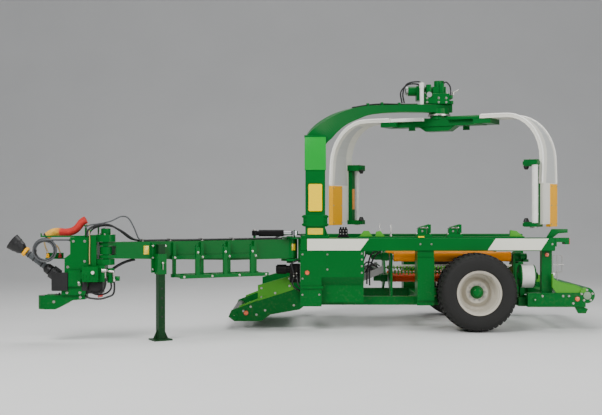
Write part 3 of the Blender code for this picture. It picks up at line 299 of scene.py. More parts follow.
# ---------------------------------------------------------------- finishes
class Socket:
    """A value in a finish. Sums and products on it add Math nodes."""

    def __init__(self, finish, socket):
        self.finish = finish
        self.socket = socket

    def maths(self, operation, first, second, clamp=False):
        settings = {"operation": operation, "use_clamp": clamp}
        return self.finish.node("ShaderNodeMath", settings, {0: first, 1: second})

    def __add__(self, other):
        return self.maths("ADD", self, other)

    __radd__ = __add__

    def __sub__(self, other):
        return self.maths("SUBTRACT", self, other)

    def __rsub__(self, other):
        return self.maths("SUBTRACT", other, self)

    def __mul__(self, other):
        return self.maths("MULTIPLY", self, other)

    __rmul__ = __mul__

    def __pow__(self, power):
        return self.maths("POWER", self, power)

    def __gt__(self, other):
        return self.maths("GREATER_THAN", self, other)

    def __lt__(self, other):
        return self.maths("LESS_THAN", self, other)

    def limited(self):
        return self.maths("ADD", self, 0.0, clamp=True)

    def sine(self):
        return self.maths("SINE", self, 0.0)

    def size(self):
        return self.maths("ABSOLUTE", self, 0.0)


class Finish:
    """A named finish: node adds one node to it and gives back its socket."""

    def __init__(self, name, metallic=0.0, coat=0.0):
        self.material = bpy.data.materials.new(name)
        self.material.use_nodes = True
        self.tree = self.material.node_tree
        self.surface = self.tree.nodes["Principled BSDF"]
        self.surface.inputs["Metallic"].default_value = metallic
        self.surface.inputs["Coat Weight"].default_value = coat
        self.place = self.node("ShaderNodeTexCoord", output="Object")

    def node(self, kind, settings=None, inputs=None, output=0):
        made = self.tree.nodes.new(kind)
        for name, value in (settings or {}).items():
            setattr(made, name, value)
        for name, value in (inputs or {}).items():
            self.plug(made.inputs[name], value)
        return Socket(self, made.outputs[output])

    def plug(self, target, value):
        if isinstance(value, Socket):
            self.tree.links.new(value.socket, target)
        else:
            target.default_value = value

    def shift(self, centre=(0, 0, 0), turn=(0, 0, 0), scale=(1, 1, 1)):
        """Object places measured from a centre, turned and stretched."""
        centred = self.node(
            "ShaderNodeVectorMath", {"operation": "SUBTRACT"}, {0: self.place, 1: tuple(centre)}
        )
        return self.node("ShaderNodeMapping", {}, {"Vector": centred, "Rotation": turn, "Scale": scale})

    def axes(self, place=None):
        split = self.node("ShaderNodeSeparateXYZ", {}, {0: place or self.place}).socket.node
        return [Socket(self, out) for out in split.outputs]

    def noise(self, scale, detail=3.0, place=None):
        inputs = {"Vector": place or self.place, "Scale": scale, "Detail": detail}
        return self.node("ShaderNodeTexNoise", {}, inputs)

    def cells(self, scale, place=None):
        return self.node("ShaderNodeTexVoronoi", {}, {"Vector": place or self.place, "Scale": scale})

    def mixed(self, factor, first, second):
        """One colour turning into another as the factor goes from 0 to 1."""
        return self.node("ShaderNodeMix", {"data_type": "RGBA"}, {0: factor, 6: first, 7: second}, output=2)

    def bump(self, height, depth, strength=1.0):
        inputs = {"Height": height, "Distance": depth, "Strength": strength}
        self.plug(self.surface.inputs["Normal"], self.node("ShaderNodeBump", {}, inputs))

    def done(self, colour, roughness):
        self.plug(self.surface.inputs["Base Color"], colour)
        self.plug(self.surface.inputs["Roughness"], roughness)
        return self.material


def tint(red, green, blue, gain=1.0):
    """A paint chart's 0 to 255 colour in the renderer's own measure."""

    def linear(value):
        share = value / 255
        return share / 12.92 if share <= 0.04045 else ((share + 0.055) / 1.055) ** 2.4

    return (*(min(1.0, gain * linear(v)) for v in (red, green, blue)), 1.0)


def scaled(colour, gain):
    return (*(min(1.0, gain * value) for value in colour[:3]), 1.0)


DUST = tint(150, 138, 112)


def painted(name, colour, dust=0.06, low=0.26, high=0.42, overlay=None):
    """Sprayed paint: faint patches, orange peel, and dust that thins out above the wheels."""
    f = Finish(name, coat=0.0)
    f.surface.inputs["Coat Roughness"].default_value = 0.2
    f.surface.inputs["Specular IOR Level"].default_value = 0.14
    patches, fine = f.noise(1.7, 2.0), f.noise(31.0, 6.0)
    base = f.mixed(patches, scaled(colour, 0.86), scaled(colour, 1.1))
    if overlay:
        base = overlay(f, base)
    height = f.axes()[2]
    grime = ((fine - 0.5) * 5.0).limited() * ((1.15 - height) * 1.1).limited() * dust
    base = f.mixed(grime, base, DUST)
    f.bump(f.noise(210.0, 2.0) * 0.5 + fine * 0.5, 0.0006, 0.5)
    return f.done(base, fine * (high - low) + low + grime * 0.5)


def metal(name, colour, low=0.22, high=0.45, grain=(1, 1, 1)):
    """Bare or plated metal with fine scratches and dull patches."""
    f = Finish(name, metallic=1.0)
    scratches = f.noise(90.0, 5.0, f.shift(scale=grain))
    patches = f.noise(9.0, 4.0)
    base = f.mixed(patches, scaled(colour, 0.75), colour)
    f.bump(scratches, 0.0004, 0.6)
    return f.done(base, patches * 0.6 * (high - low) + scratches * 0.4 * (high - low) + low)


def moulded(name, colour, rough=0.5, grain=240.0):
    """Moulded plastic or rubber goods with a fine grain and a little dust."""
    f = Finish(name)
    grit, patches = f.noise(grain, 2.0), f.noise(14.0, 5.0)
    base = f.mixed((patches - 0.42).limited() * 0.9, colour, scaled(colour, 1.9))
    f.bump(grit, 0.0005, 0.7)
    return f.done(base, patches * 0.22 + (rough - 0.1))


def vinyl(name, colour):
    """A blank sticker: smooth film with slight waviness and faint scuffs."""
    f = Finish(name, coat=0.05)
    f.surface.inputs["Specular IOR Level"].default_value = 0.2
    scuffs, waves = f.noise(120.0, 6.0, f.shift(scale=(0.2, 1, 2))), f.noise(7.0, 1.0)
    base = f.mixed(((scuffs - 0.58) * 6.0).limited() * 0.35, colour, scaled(colour, 0.72))
    f.bump(waves, 0.0012, 0.4)
    return f.done(base, scuffs * 0.2 + 0.24)


def lens(name, colour):
    """A reflector's lens, with its moulded cells."""
    f = Finish(name, coat=1.0)
    cells = f.cells(170.0)
    base = f.mixed(cells, scaled(colour, 1.25), scaled(colour, 0.6))
    f.bump(cells, 0.002)
    return f.done(base, cells * 0.2 + 0.12)


def rubber(name, centre):
    """Tyre rubber: moulded rings on the side wall, and dust in the tread."""
    f = Finish(name)
    x, _, z = f.axes(f.shift(centre))
    radius = (x * x + z * z) ** 0.5
    wall = radius < 0.485
    rings = (radius * 330.0).sine() * 0.5 + 0.5
    fine, patches = f.noise(85.0, 6.0), f.noise(6.0, 4.0)
    dusty = ((fine - 0.42) * 2.6).limited() * (patches * 0.8 + 0.1)
    black = f.mixed(patches, tint(9, 9, 8), tint(17, 16, 14))
    base = f.mixed(dusty * (0.22 - wall * 0.12), black, tint(84, 75, 60))
    f.bump(rings * wall * 0.6 + fine * 0.5, 0.0018, 0.8)
    return f.done(base, 0.62 + fine * 0.3)


def woven(name, worn, turns_yellow):
    """The braided sleeve round the hoses: red, worn darker, and yellow past a place along X."""
    f = Finish(name)
    x, y, z = f.axes()
    weave = ((x * 900.0).sine() * (z * 900.0).sine() + (y * 900.0).sine()) * 0.25 + 0.5
    mottle = f.noise(26.0, 6.0)
    end = f.mixed(
        (((turns_yellow - x) + (mottle - 0.5) * 0.12) * 14.0).limited(),
        tint(205, 42, 34), tint(250, 196, 62),
    )
    base = f.mixed(weave * 0.35 + (mottle - 0.4).limited() * 0.6, end, worn)
    f.bump(weave, 0.002, 0.8)
    return f.done(base, 0.7 + weave * 0.2)


GREEN_TINT = tint(0, 96, 34)
LIGHT_TINT = tint(74, 150, 44)


def with_guard(level):
    """Paints a table's guard plates light green: outside them, or above a level."""

    def overlay(f, base):
        x, y, z = f.axes(f.shift(at(0, 0, 0)))
        if level == "infeed":
            mask = (y.size() > 0.8606) * (z > 0.39) * (x < -0.09)
        else:
            mask = (z > 0.523) * (x < 3.90)
        return f.mixed(mask, base, LIGHT_TINT)

    return overlay


def arm_panel(which):
    """The film arm's middle is a greyer panel between its two pale edges."""

    def overlay(f, base):
        turn = -ARM_ANGLE - (math.pi if which == "front" else 0)
        _, y, z = f.axes(f.shift(at(*PIVOT, 0), (0, 0, turn)))
        share = (((2.95 - z) * 0.15 + 0.10 - (y - 0.05).size()) * 30.0).limited()
        inside = share * (z > 2.03) * (z < 2.93)
        return f.mixed(inside, base, tint(196, 198, 194))

    return overlay


green = painted("green_paint", GREEN_TINT)
deep_green = painted("leg_green_paint", tint(10, 56, 24))
bright_green = painted("bright_green_paint", tint(0, 158, 52), dust=0.0)
light_green = painted("light_green_paint", LIGHT_TINT)
yellow = painted("yellow_paint", tint(255, 178, 0), dust=0.05)
roller_yellow = painted("roller_yellow_paint", tint(255, 148, 0), dust=0.05)
# The lower rollers' darker orange is the upper rollers' yellow darkened as painted shade, for rollers lying
# in shade under the upper ones.
roller_shade_orange = painted("roller_shade_orange_paint", tint(190, 66, 14), dust=0.05)
rim_paint = painted("rim_silver_paint", tint(196, 190, 176), dust=0.15, low=0.34, high=0.5)
cream = painted("cream_paint", tint(226, 222, 206), dust=0.1)
black_paint = painted("black_paint", tint(13, 13, 13), dust=0.12, low=0.35, high=0.5)
infeed_paint = painted("infeed_paint", GREEN_TINT, overlay=with_guard("infeed"))
tail_paint = painted("tail_paint", GREEN_TINT, overlay=with_guard("tail"))
zinc = metal("zinc_plate", tint(196, 194, 186))
steel = metal("rolled_steel", tint(150, 150, 146), grain=(0.15, 2, 2))
chrome = metal("hard_chrome", tint(222, 224, 226), 0.08, 0.16, (3, 3, 0.2))
cast = metal("cast_silver", tint(176, 178, 176), 0.35, 0.6)
hose_black = moulded("hose_rubber", tint(14, 14, 15), 0.5)
cable_grey = moulded("cable_sheath", tint(70, 72, 74), 0.45)
plastic = moulded("black_plastic", tint(15, 15, 16), 0.42)
white_plastic = moulded("white_plastic", tint(222, 221, 214), 0.4)
# The drive shaft's guard tube: its black plastic lightened to grey as a painted highlight along the tube.
shaft_tube_highlight_grey = moulded("shaft_guard_tube_highlight_grey", tint(66, 70, 72), 0.4)
tan_tape = moulded("tan_tape", tint(214, 140, 62), 0.5)
rope = moulded("rope_fibre", tint(176, 148, 96), 0.8, 480.0)
decal = vinyl("cream_sticker", tint(228, 228, 212))
sign = vinyl("yellow_sticker", tint(255, 214, 0))
yellow_lens = lens("yellow_lens", tint(250, 206, 16))
orange_lens = lens("orange_lens", tint(240, 104, 44))
red_lens = lens("red_lens", tint(176, 24, 22))
arm_paint = {
    which: painted(f"arm_{which}_paint", tint(232, 230, 218), dust=0.0, overlay=arm_panel(which))
    for which in ("front", "rear")
}

NODE_FINISH = {
    "infeed_table": infeed_paint, "tail_frame": tail_paint, "stand_leg": deep_green, "conveyor_bed": steel,
    "infeed_roller": steel, "tail_roller": green, "upper_roller": roller_yellow,
    "lower_roller": roller_shade_orange,
    "film_arm_front": arm_paint["front"],
    "film_arm_rear": arm_paint["rear"], "arm_cover": yellow, "stretch_roller": white_plastic,
    "swing_cylinder_barrel": black_paint,
    "swing_cylinder_rod": chrome, "shaft_gearbox": plastic, "drive_shaft": shaft_tube_highlight_grey, "rim": rim_paint,
    "tyre": hose_black, "hose_bundle": hose_black, "cable_coil": cable_grey,
}


def finish_nodes():
    """Every CAD node takes its finish: green, unless its name starts with one in the list."""
    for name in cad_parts:
        obj = bpy.data.objects[name]
        match = next((finish for start, finish in NODE_FINISH.items() if name.startswith(start)), green)
        for slot in obj.material_slots:
            slot.material = match
        if not obj.material_slots:
            obj.data.materials.append(match)


# ---------------------------------------------------------------- studio
SWEEP_START, SWEEP_R = 9.0, 14.0  # where the floor turns up into the backdrop


def build_studio():
    camera = bpy.data.cameras.new("camera")
    camera.sensor_width = 36
    camera.lens = 62.4
    viewer = bpy.data.objects.new("camera", camera)
    viewer.location = at(0, -15.375, 1.69)
    viewer.rotation_euler = (math.radians(90), 0, 0)
    bpy.context.collection.objects.link(viewer)
    bpy.context.scene.camera = viewer
    deselect()
    bpy.ops.mesh.primitive_grid_add(x_subdivisions=1, y_subdivisions=240, size=240, location=at(1, 30, 0))
    floor = settle(bpy.context.object)
    for vertex in floor.data.vertices:
        past = vertex.co.y - at(0, SWEEP_START, 0).y
        if past > 0:
            turned_by = min(past / SWEEP_R, math.pi / 2)
            climb = max(0.0, past - SWEEP_R * math.pi / 2)
            vertex.co.y += SWEEP_R * math.sin(turned_by) - past
            vertex.co.z = SWEEP_R * (1 - math.cos(turned_by)) + climb
    bpy.ops.object.shade_smooth()
    floor.name = "studio_floor"
    f = Finish("studio_floor")
    pale = f.mixed(f.noise(0.6, 3.0), tint(226, 226, 224), tint(234, 234, 232))
    floor.data.materials.append(f.done(pale, f.noise(30.0, 2.0) * 0.1 + 0.6))
    world = bpy.data.worlds.new("studio")
    world.use_nodes = True
    world.node_tree.nodes["Background"].inputs["Color"].default_value = (0.93, 0.95, 1.0, 1)
    world.node_tree.nodes["Background"].inputs["Strength"].default_value = 0.35
    bpy.context.scene.world = world
    for name, place, aimed, size, power in (
        ("key_light", (-5, -9, 8.5), (0.6, 0, 1.0), 5.0, 1150),
        ("fill_light", (8, -8, 4.0), (1.0, 0, 1.0), 6.0, 560),
        ("top_light", (1.5, 1, 9), (1.5, 0, 0), 7.0, 520),
    ):
        light = bpy.data.lights.new(name, "AREA")
        light.size = size
        light.energy = power
        lamp = bpy.data.objects.new(name, light)
        lamp.location = at(*place)
        lamp.rotation_euler = (at(*aimed) - at(*place)).to_track_quat("-Z", "Y").to_euler()
        bpy.context.collection.objects.link(lamp)


# ---------------------------------------------------------------- cords
SLEEVE_R = 0.048
CABLE_R = 0.011


def build_cords():
    """The sleeved hoses over the head, their tail to its connector, and the coiled cable."""
    route = [
        (-0.25, 0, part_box("hose_stand")[1][2] + SLEEVE_R + 0.018),
        (-0.30, 0, 1.506), (-0.355, 0, 1.435), (-0.42, 0.005, 1.392), (-0.51, 0.01, 1.378),
        (-0.60, 0.015, 1.386), (-0.68, 0.02, 1.372), (-0.754, 0.02, 1.32),
    ]
    points = smooth_path([on_head(*p) for p in route], 0.03)
    sleeve = piece("hose_sleeve", [hose(points, SLEEVE_R, 6)], sleeve_cloth, "hitch_head")
    pick(sleeve)
    bpy.ops.object.mode_set(mode="EDIT")
    bpy.ops.mesh.select_all(action="SELECT")
    bpy.ops.mesh.subdivide(number_cuts=1)
    bpy.ops.object.mode_set(mode="OBJECT")
    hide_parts("hose_bundle")
    band = [(points[-1] + (points[-1] - points[-2]).normalized() * s) for s in (-0.02, 0.004)]
    collar = piece("sleeve_collar", [rod(*band, SLEEVE_R + 0.003, 32, 0.003)], hose_black, "hitch_head")
    path_length(points)

    low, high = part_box("cable_coil")
    middle = (Vector(low) + Vector(high)) / 2
    ring = (high[0] - low[0]) / 2 - 0.035
    turns = []
    for i in range(1, 79):
        t = i / 24
        a = math.pi * (0.5 + 2 * t)
        around = math.pi * (t - 1) / 2
        r = ring + 0.0165 * math.cos(around)
        turns.append(middle + Vector((r * math.cos(a), 0.0165 * math.sin(around), r * math.sin(a))))
    lead = [on_head(-0.421, -0.10, 1.285), on_head(-0.47, -0.10, 1.286), on_head(-0.56, -0.112, 1.2865)]
    points = smooth_path([*lead, on_head(-0.65, -0.122, 1.287), *turns], 0.04)
    cable = piece("coiled_cable", [hose(points, CABLE_R, 4)], cable_grey, "hitch_head")
    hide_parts("cable_coil", "cable_lead")
    end = points[-1]
    way = (points[-1] - points[-2]).normalized()
    plug = piece(
        "cable_plug",
        [
            rod(end - way * 0.01, end + way * 0.05, 0.017, 20),
            rod(end + way * 0.045, end + way * 0.075, 0.014, 20),
        ],
        plastic, "hitch_head",
    )
    gland = piece(
        "cable_gland",
        [rod(on_head(-0.405, -0.10, 1.285), on_head(-0.437, -0.10, 1.285), 0.018, 12)],
        plastic, "hitch_head",
    )
    path_length(points)


# ---------------------------------------------------------------- wheels
def build_wheels():
    for name, side in SIDES:
        on = f"wheel_{name}"
        low, high = (Vector(corner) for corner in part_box(f"tyre_{name}"))
        centre, outer = (low + high) / 2, (high[2] - low[2]) / 2
        half = (high[1] - low[1]) / 2
        out = ACROSS * side
        crown = outer - 0.022
        wall = [
            (0.288, half - 0.045), (0.303, half - 0.036), (0.312, half - 0.014), (0.345, half - 0.004),
            (0.40, half), (0.44, half - 0.004), (0.478, half - 0.016), (crown - 0.012, half - 0.05),
            (crown, half - 0.105), (crown + 0.004, half - 0.20),
        ]
        profile = [*wall, *((r, -h) for r, h in reversed(wall)), wall[0]]
        tyre = piece(f"tyre_case_{name}", [turned(profile, centre, out, 96)], tyre_rubber[name], on, 50)
        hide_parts(f"tyre_{name}")

        # Shoulder lugs lean forward on each edge; between them run three rows of crown blocks.
        lugs = []
        count = 44
        for row, (across, lean, size) in enumerate(
            (
                (half - 0.075, 0.30, (0.040, 0.115)), (-half + 0.075, -0.30, (0.040, 0.115)),
                (0.10, 0.45, (0.034, 0.085)), (-0.10, -0.45, (0.034, 0.085)), (0.0, 0.0, (0.034, 0.060)),
            )
        ):
            model = block((-size[0] / 2, -size[1] / 2, -0.018), (size[0] / 2, size[1] / 2, 0.010), 0.005)
            shoulder = row < 2
            level = outer - (0.034 if shoulder else 0.012)
            places = []
            for i in range(count):
                angle = 2 * math.pi * (i + 0.5 * (row % 2)) / count
                turn = Matrix.Translation(centre) @ Matrix.Rotation(angle, 4, "Y")
                tilt = Matrix.Rotation(math.copysign(0.42, -across), 4, "X") if shoulder else Matrix()
                places.append(
                    turn @ Matrix.Translation((0, across, level)) @ tilt @ Matrix.Rotation(lean, 4, "Z")
                )
            lugs.append(copies(model, places))
        piece(f"tyre_tread_{name}", lugs, tyre_rubber[name], on)

        flange = half - 0.018
        rim = [
            (0, 0.03), (0.075, 0.03), (0.10, 0.036), (0.130, 0.046), (0.150, 0.044), (0.172, 0.020),
            (0.200, -0.018), (0.216, -0.020), (0.240, -0.004), (0.252, 0.03), (0.262, flange - 0.075),
            (0.274, flange - 0.060), (0.277, flange - 0.020), (0.296, flange - 0.004),
            (0.300, flange + 0.003), (0.304, flange), (0.304, flange - 0.012), (0.2855, flange - 0.022),
            (0.2855, 0.022 - flange), (0.304, 0.012 - flange), (0.304, -flange), (0.298, -flange),
            (0.27, 0.020 - flange), (0.24, -0.05), (0.10, -0.03), (0, -0.03),
        ]
        disc = piece(f"wheel_disc_{name}", [turned(rim, centre, out, 96)], rim_paint, on, 30)
        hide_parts(f"rim_{name}")
        cap = [
            (0, 0.132), (0.042, 0.130), (0.060, 0.120), (0.066, 0.108), (0.068, 0.06), (0.088, 0.055),
            (0.09, 0.03),
        ]
        piece(f"hub_cap_{name}", [turned(cap, centre, out, 40)], green, on)
        nuts = []
        for i in range(10):
            a = 2 * math.pi * i / 10
            nuts.append((centre + Vector((0.117 * math.cos(a), side * 0.040, 0.117 * math.sin(a))), out))
        piece(f"wheel_nuts_{name}", [bolts(nuts, 0.013)], zinc, on)
        valve = centre + Vector((0.262 * math.cos(0.9), side * (flange - 0.06), 0.262 * math.sin(0.9)))
        inward = (centre - valve).normalized()
        piece(f"valve_{name}", [rod(valve, valve + out * 0.05 + inward * 0.02, 0.005, 10)], zinc, on)


# ---------------------------------------------------------------- rollers and their drive
def build_rollers():
    for name, side in SIDES:
        for level in ("upper", "lower"):
            node = f"{level}_roller_{name}"
            low, high = (Vector(corner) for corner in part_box(node))
            middle = (low + high) / 2
            radius = (high[2] - low[2]) / 2
            length = high[0] - low[0] - 0.11
            profile = [(0.022, length / 2), (radius - 0.004, length / 2)]
            for k in range(2):
                end = length / 2 - 0.03 - 0.03 * k
                profile += [(radius, end + 0.024), (radius, end), (radius - 0.003, end - 0.003)]
            profile += [(radius - 0.001, length / 2 - 0.10)]
            whole = [*profile, *((r, -h) for r, h in reversed(profile))]
            skin = [turned([(0, length / 2), *whole, (0, -length / 2)], middle, ALONG, 48)]
            shaft = rod(
                middle - ALONG * (length / 2 + 0.05), middle + ALONG * (length / 2 + 0.05), 0.021, 24
            )
            # Lower rollers take the darker orange paint, which is painted shade.
            finish = roller_yellow if level == "upper" else roller_shade_orange
            made = piece(f"{level}_roller_skin_{name}", [*skin, shaft], finish, node)
            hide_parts(node)
            collars = []
            for end in (-1, 1):
                face = middle + ALONG * end * (length / 2 + 0.001)
                collars.append(rod(face, face + ALONG * end * 0.012, 0.034, 24))
            piece(f"{level}_roller_collars_{name}", collars, zinc, node)
        y_high, y_low = side * 0.70, side * 0.42
        motor = [
            block(at(1.13, y_high - 0.055, 0.945), at(1.235, y_high + 0.055, 1.055), 0.008),
            *rods(
                at,
                ((1.03, y_high, 1.0), (1.14, y_high, 1.0), 0.046, 28),
                ((0.985, y_high, 1.0), (1.035, y_high, 1.0), 0.036, 28),
            ),
            *blocks(
                at,
                ((1.06, y_high - 0.02, 1.04), (1.11, y_high + 0.02, 1.075), 0.004),
                ((1.14, y_low - 0.05, 0.63), (1.235, y_low + 0.05, 0.73), 0.008),
            ),
            rod(at(1.04, y_low, 0.68), at(1.15, y_low, 0.68), 0.042, 28),
        ]
        piece(f"roller_motors_{name}", motor, green)
        fittings = []
        for x, z in ((1.075, 1.075), (1.10, 1.075)):
            fittings.append(rod(at(x, y_high, z - 0.004), at(x, y_high, z + 0.025), 0.009, 6))
        for x in (1.07, 1.11):
            fittings.append(rod(at(x, y_low, 0.72), at(x, y_low, 0.75), 0.009, 6))
        piece(f"motor_fittings_{name}", fittings, zinc)
        y = y_high + side * 0.09
        lines = [
            run(
                at(1.075, y_high, 1.09), at(1.06, y, 1.09), at(0.98, y, 1.03), at(0.93, y, 0.84),
                at(0.92, y, 0.62),
            ),
            run(
                at(1.10, y_high, 1.09), at(1.11, y, 1.085), at(1.02, y, 0.99), at(0.96, y, 0.82),
                at(0.96, y, 0.60),
            ),
            run(at(1.07, y_low, 0.74), at(1.05, y_low, 0.80), at(0.97, y_low, 0.80), at(0.93, y_low, 0.70)),
            run(at(1.11, y_low, 0.74), at(1.10, y_low, 0.83), at(0.99, y_low, 0.86), at(0.90, y_low, 0.72)),
        ]
        piece(f"motor_hoses_{name}", lines, hose_black)

        # A fingered shaft and a pale guard strip run between the near rollers.
        guard = [block(at(1.30, side * 0.785, 0.872), at(2.945, side * 0.795, 0.892), 0.002)]
        guard += [
            block(at(x, side * 0.70, 0.86), at(x + 0.02, side * 0.79, 0.88), 0.002)
            for x in (1.31, 2.1, 2.9)
        ]
        piece(f"roller_guard_{name}", guard, cream)
        y = side * 0.60
        shaft = rod(at(1.29, y, 0.775), at(2.955, y, 0.775), 0.014, 16)
        finger = block((-0.011, -0.030, -0.030), (0.011, 0.030, 0.030), 0.006)
        places = []
        for i in range(34):
            spin = Matrix.Rotation(math.radians(33 * i), 4, "X")
            places.append(Matrix.Translation(at(1.33 + i * 0.048, y, 0.775)) @ spin)
        piece(f"belt_fingers_{name}", [copies(finger, places)], light_green)
        piece(f"finger_shaft_{name}", [shaft], steel)
    gear = [
        block(at(3.005, -0.62, 0.90), at(3.075, -0.50, 1.06), 0.006),
        *rods(
            at,
            ((3.00, -0.70, 1.0), (3.09, -0.70, 1.0), 0.07, 28),
            ((3.09, -0.70, 1.0), (3.17, -0.70, 1.0), 0.045, 28),
        ),
        block(at(3.10, -0.80, 0.93), at(3.18, -0.60, 0.965), 0.004),
        rod(at(3.06, -0.80, 1.01), at(3.12, -0.80, 1.01), 0.04, 20),
    ]
    piece("rear_gear", gear, green)


# ---------------------------------------------------------------- satellite, arms and arch
def build_satellite():
    beam_low, beam_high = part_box("satellite_beam")
    top, low = beam_high[2], beam_low[2]
    for which in ("front", "rear"):
        out = arm_way(which, 1, 0)
        aside = arm_way(which, 0, 1)
        arm_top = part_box(f"film_arm_{which}")[1][2]
        places = [
            (on_arm(which, r, t, arm_top), UP) for r in (0.72, 0.80) for t in (-0.15, -0.05, 0.05, 0.15)
        ]
        piece(f"arm_root_bolts_{which}", [bolts(places, 0.014)], zinc, "satellite")
        root = block((0.19, -0.19, arm_top - 0.05), (0.70, 0.19, arm_top), 0.004)
        turn = Matrix.Translation(at(*PIVOT, 0)) @ Matrix.Rotation(math.atan2(out.y, out.x), 4, "Z")
        root_paint = arm_edge if which == "front" else green
        piece(f"arm_root_{which}", [moved(root, turn)], root_paint, "satellite")
        clamp = [
            block((-0.05, -0.008, 0.0), (0.05, 0.008, 0.05), 0.003),
            block((-0.05, -0.020, -0.004), (0.05, 0.020, 0.006), 0.003),
        ]
        turn = Matrix.Translation(on_arm(which, 0.38, 0.118, low + 0.02)) @ Matrix.Rotation(
            math.atan2(out.y, out.x), 4, "Z"
        )
        piece(f"beam_bracket_{which}", [moved(join(clamp), turn)], green, "satellite")

        # Rolled rims stiffen both edges of the arm, from its root down to the covers.
        bend, height = ARM_OUT - ARM_BEND_R, ARM_TOP - ARM_SHOULDER_Z
        for edge in (-1, 1):
            rail = []
            for i in range(3):
                rail.append(on_arm(which, 0.72 + 0.13 * i, edge * (0.197 + 0.008 * i), 3.008))
            for i in range(13):
                a = math.radians(90 * i / 12)
                half = 0.222 + 0.085 * i / 12
                r, z = ARM_BEND_R + bend * math.sin(a), ARM_SHOULDER_Z + height * math.cos(a)
                rail.append(on_arm(which, r - 0.004, edge * (half - 0.004), z - 0.004))
            rail.append(on_arm(which, ARM_OUT - 0.004, edge * 0.325, 2.15))
            rail.append(on_arm(which, ARM_OUT - 0.004, edge * 0.331, 2.03))
            side = "inner" if edge < 0 else "outer"
            points = smooth_path(rail, 0.04)
            made = hose(points, 0.014, 3)
            piece(f"arm_rim_{side}_{which}", [made], arm_edge, "satellite")
        screws = []
        for t in (0.05, 0.31):
            for z in (1.46, 1.72, 1.985):
                screws.append((on_arm(which, ARM_OUT + 0.010, t, z), out))
                screws.append((on_arm(which, ARM_OUT - 0.060, t, z), -out))
        piece(f"cover_screws_{which}", [bolts(screws, 0.008)], zinc, "satellite")

        # Film dispenser: the gear at its foot, the roll's centre cones, a tan strip and its bolts.
        base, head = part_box(f"film_dispenser_{which}")[0][2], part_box(f"film_dispenser_{which}")[1][2]
        inner = ARM_OUT - 0.05
        gear = [
            rod(
                on_arm(which, inner - 0.03, -0.43, base + 0.01),
                on_arm(which, inner - 0.03, -0.43, base - 0.012),
                0.038,
            ),
            rod(
                on_arm(which, inner - 0.10, -0.33, base + 0.02),
                on_arm(which, inner - 0.10, -0.33, base - 0.012),
                0.030,
            ),
        ]
        piece(f"dispenser_gear_{which}", gear, zinc, "satellite")
        cones = []
        for z, way in ((1.495, 1), (2.265, -1)):
            centre = on_arm(which, inner - 0.215, -0.22, z)
            profile = [
                (0, 0.05), (0.022, 0.048), (0.036, 0.02), (0.038, 0.004), (0.046, 0.0), (0.046, -0.006),
                (0, -0.006),
            ]
            cones.append(turned(profile, centre, UP * way, 28))
        piece(f"roll_cones_{which}", cones, plastic, "satellite")
        strip = block((-0.006, -0.035, 1.66), (0.002, 0.035, 1.98), 0.002)
        turn = Matrix.Translation(on_arm(which, inner - 0.062, -0.25, 0)) @ Matrix.Rotation(
            math.atan2(out.y, out.x), 4, "Z"
        )
        piece(f"dispenser_strip_{which}", [moved(strip, turn)], tan_tape, "satellite")
        nuts = [(on_arm(which, inner - 0.03, -0.301, z), -aside) for z in (1.60, 1.85, 2.10)]
        nuts += [(on_arm(which, inner - r, -0.27, head), UP) for r in (0.06, 0.15)]
        piece(f"dispenser_bolts_{which}", [bolts(nuts, 0.011)], zinc, "satellite")
    ring = turned(
        [(0.135, 0.028), (0.165, 0.028), (0.168, 0.024), (0.168, 0.004), (0.135, 0.004), (0.135, 0.028)],
        at(*PIVOT, top), UP, 64,
    )
    piece("slewing_ring", [ring], zinc, "satellite")

    # Drive on top of the arch: motor, ram, gear case, bolts, hoses and a sensor.
    arch_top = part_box("satellite_drive")[0][2]
    x = PIVOT[0]
    motor = [
        turned(
            [(0, 0.03), (0.05, 0.03), (0.062, 0.02), (0.066, 0), (0.066, -0.05), (0, -0.05)],
            at(x - 0.47, 0, 3.40), -ALONG,
        ),
        rod(at(x - 0.16, -0.115, 3.34), at(x - 0.16, -0.14, 3.34), 0.04, 24),
    ]
    piece("drive_motor_caps", motor, cast)
    column = rods(
        at,
        ((x - 0.272, -0.152, 3.13), (x - 0.272, -0.152, 3.48), 0.030, 24),
        ((x - 0.272, -0.152, 3.43), (x - 0.272, -0.152, 3.51), 0.037, 24),
    )
    piece("drive_ram", column, white_plastic)
    case = blocks(
        at,
        ((x + 0.10, -0.10, arch_top + 0.08), (x + 0.19, 0.10, arch_top + 0.13), 0.006),
        ((x + 0.125, -0.085, arch_top), (x + 0.20, 0.085, arch_top + 0.05), 0.006),
        ((x, -0.10, 3.36), (x + 0.06, -0.06, 3.51), 0.006),
        ((x - 0.20, -0.115, 3.36), (x - 0.13, -0.04, 3.49), 0.006),
    )
    piece("drive_case_plates", case, green)
    places = [(at(x + dx, dy, 3.36), UP) for dx in (-0.22, 0.11) for dy in (-0.10, 0.10)]
    places += [(at(x + dx, -0.12, 3.29), -ACROSS) for dx in (-0.19, -0.02, 0.09)]
    places += [(at(x + dx, -0.12, 3.23), -ACROSS) for dx in (-0.19, -0.02, 0.09)]
    piece("drive_bolts", [bolts(places, 0.013)], zinc)
    loops = [
        run(
            at(x - 0.28, -0.06, 3.46), at(x - 0.33, -0.07, 3.50), at(x - 0.47, -0.07, 3.49),
            at(x - 0.57, -0.06, 3.38), at(x - 0.55, -0.05, 3.22),
        ),
        run(
            at(x - 0.24, -0.06, 3.46), at(x - 0.30, -0.09, 3.53), at(x - 0.48, -0.10, 3.50),
            at(x - 0.54, -0.08, 3.36), at(x - 0.52, -0.08, 3.22),
        ),
        run(
            at(x + 0.05, -0.07, 3.50), at(x + 0.09, -0.08, 3.53), at(x + 0.15, -0.09, 3.46),
            at(x + 0.16, -0.09, 3.33),
        ),
    ]
    piece("drive_hoses", loops, hose_black)
    sensor = [
        rod(at(x + 0.20, -0.02, 3.37), at(x + 0.29, -0.02, 3.42), 0.010, 12),
        block(at(x + 0.19, -0.03, 3.34), at(x + 0.215, 0.0, 3.40), 0.004),
    ]
    piece("drive_sensor", sensor, zinc)

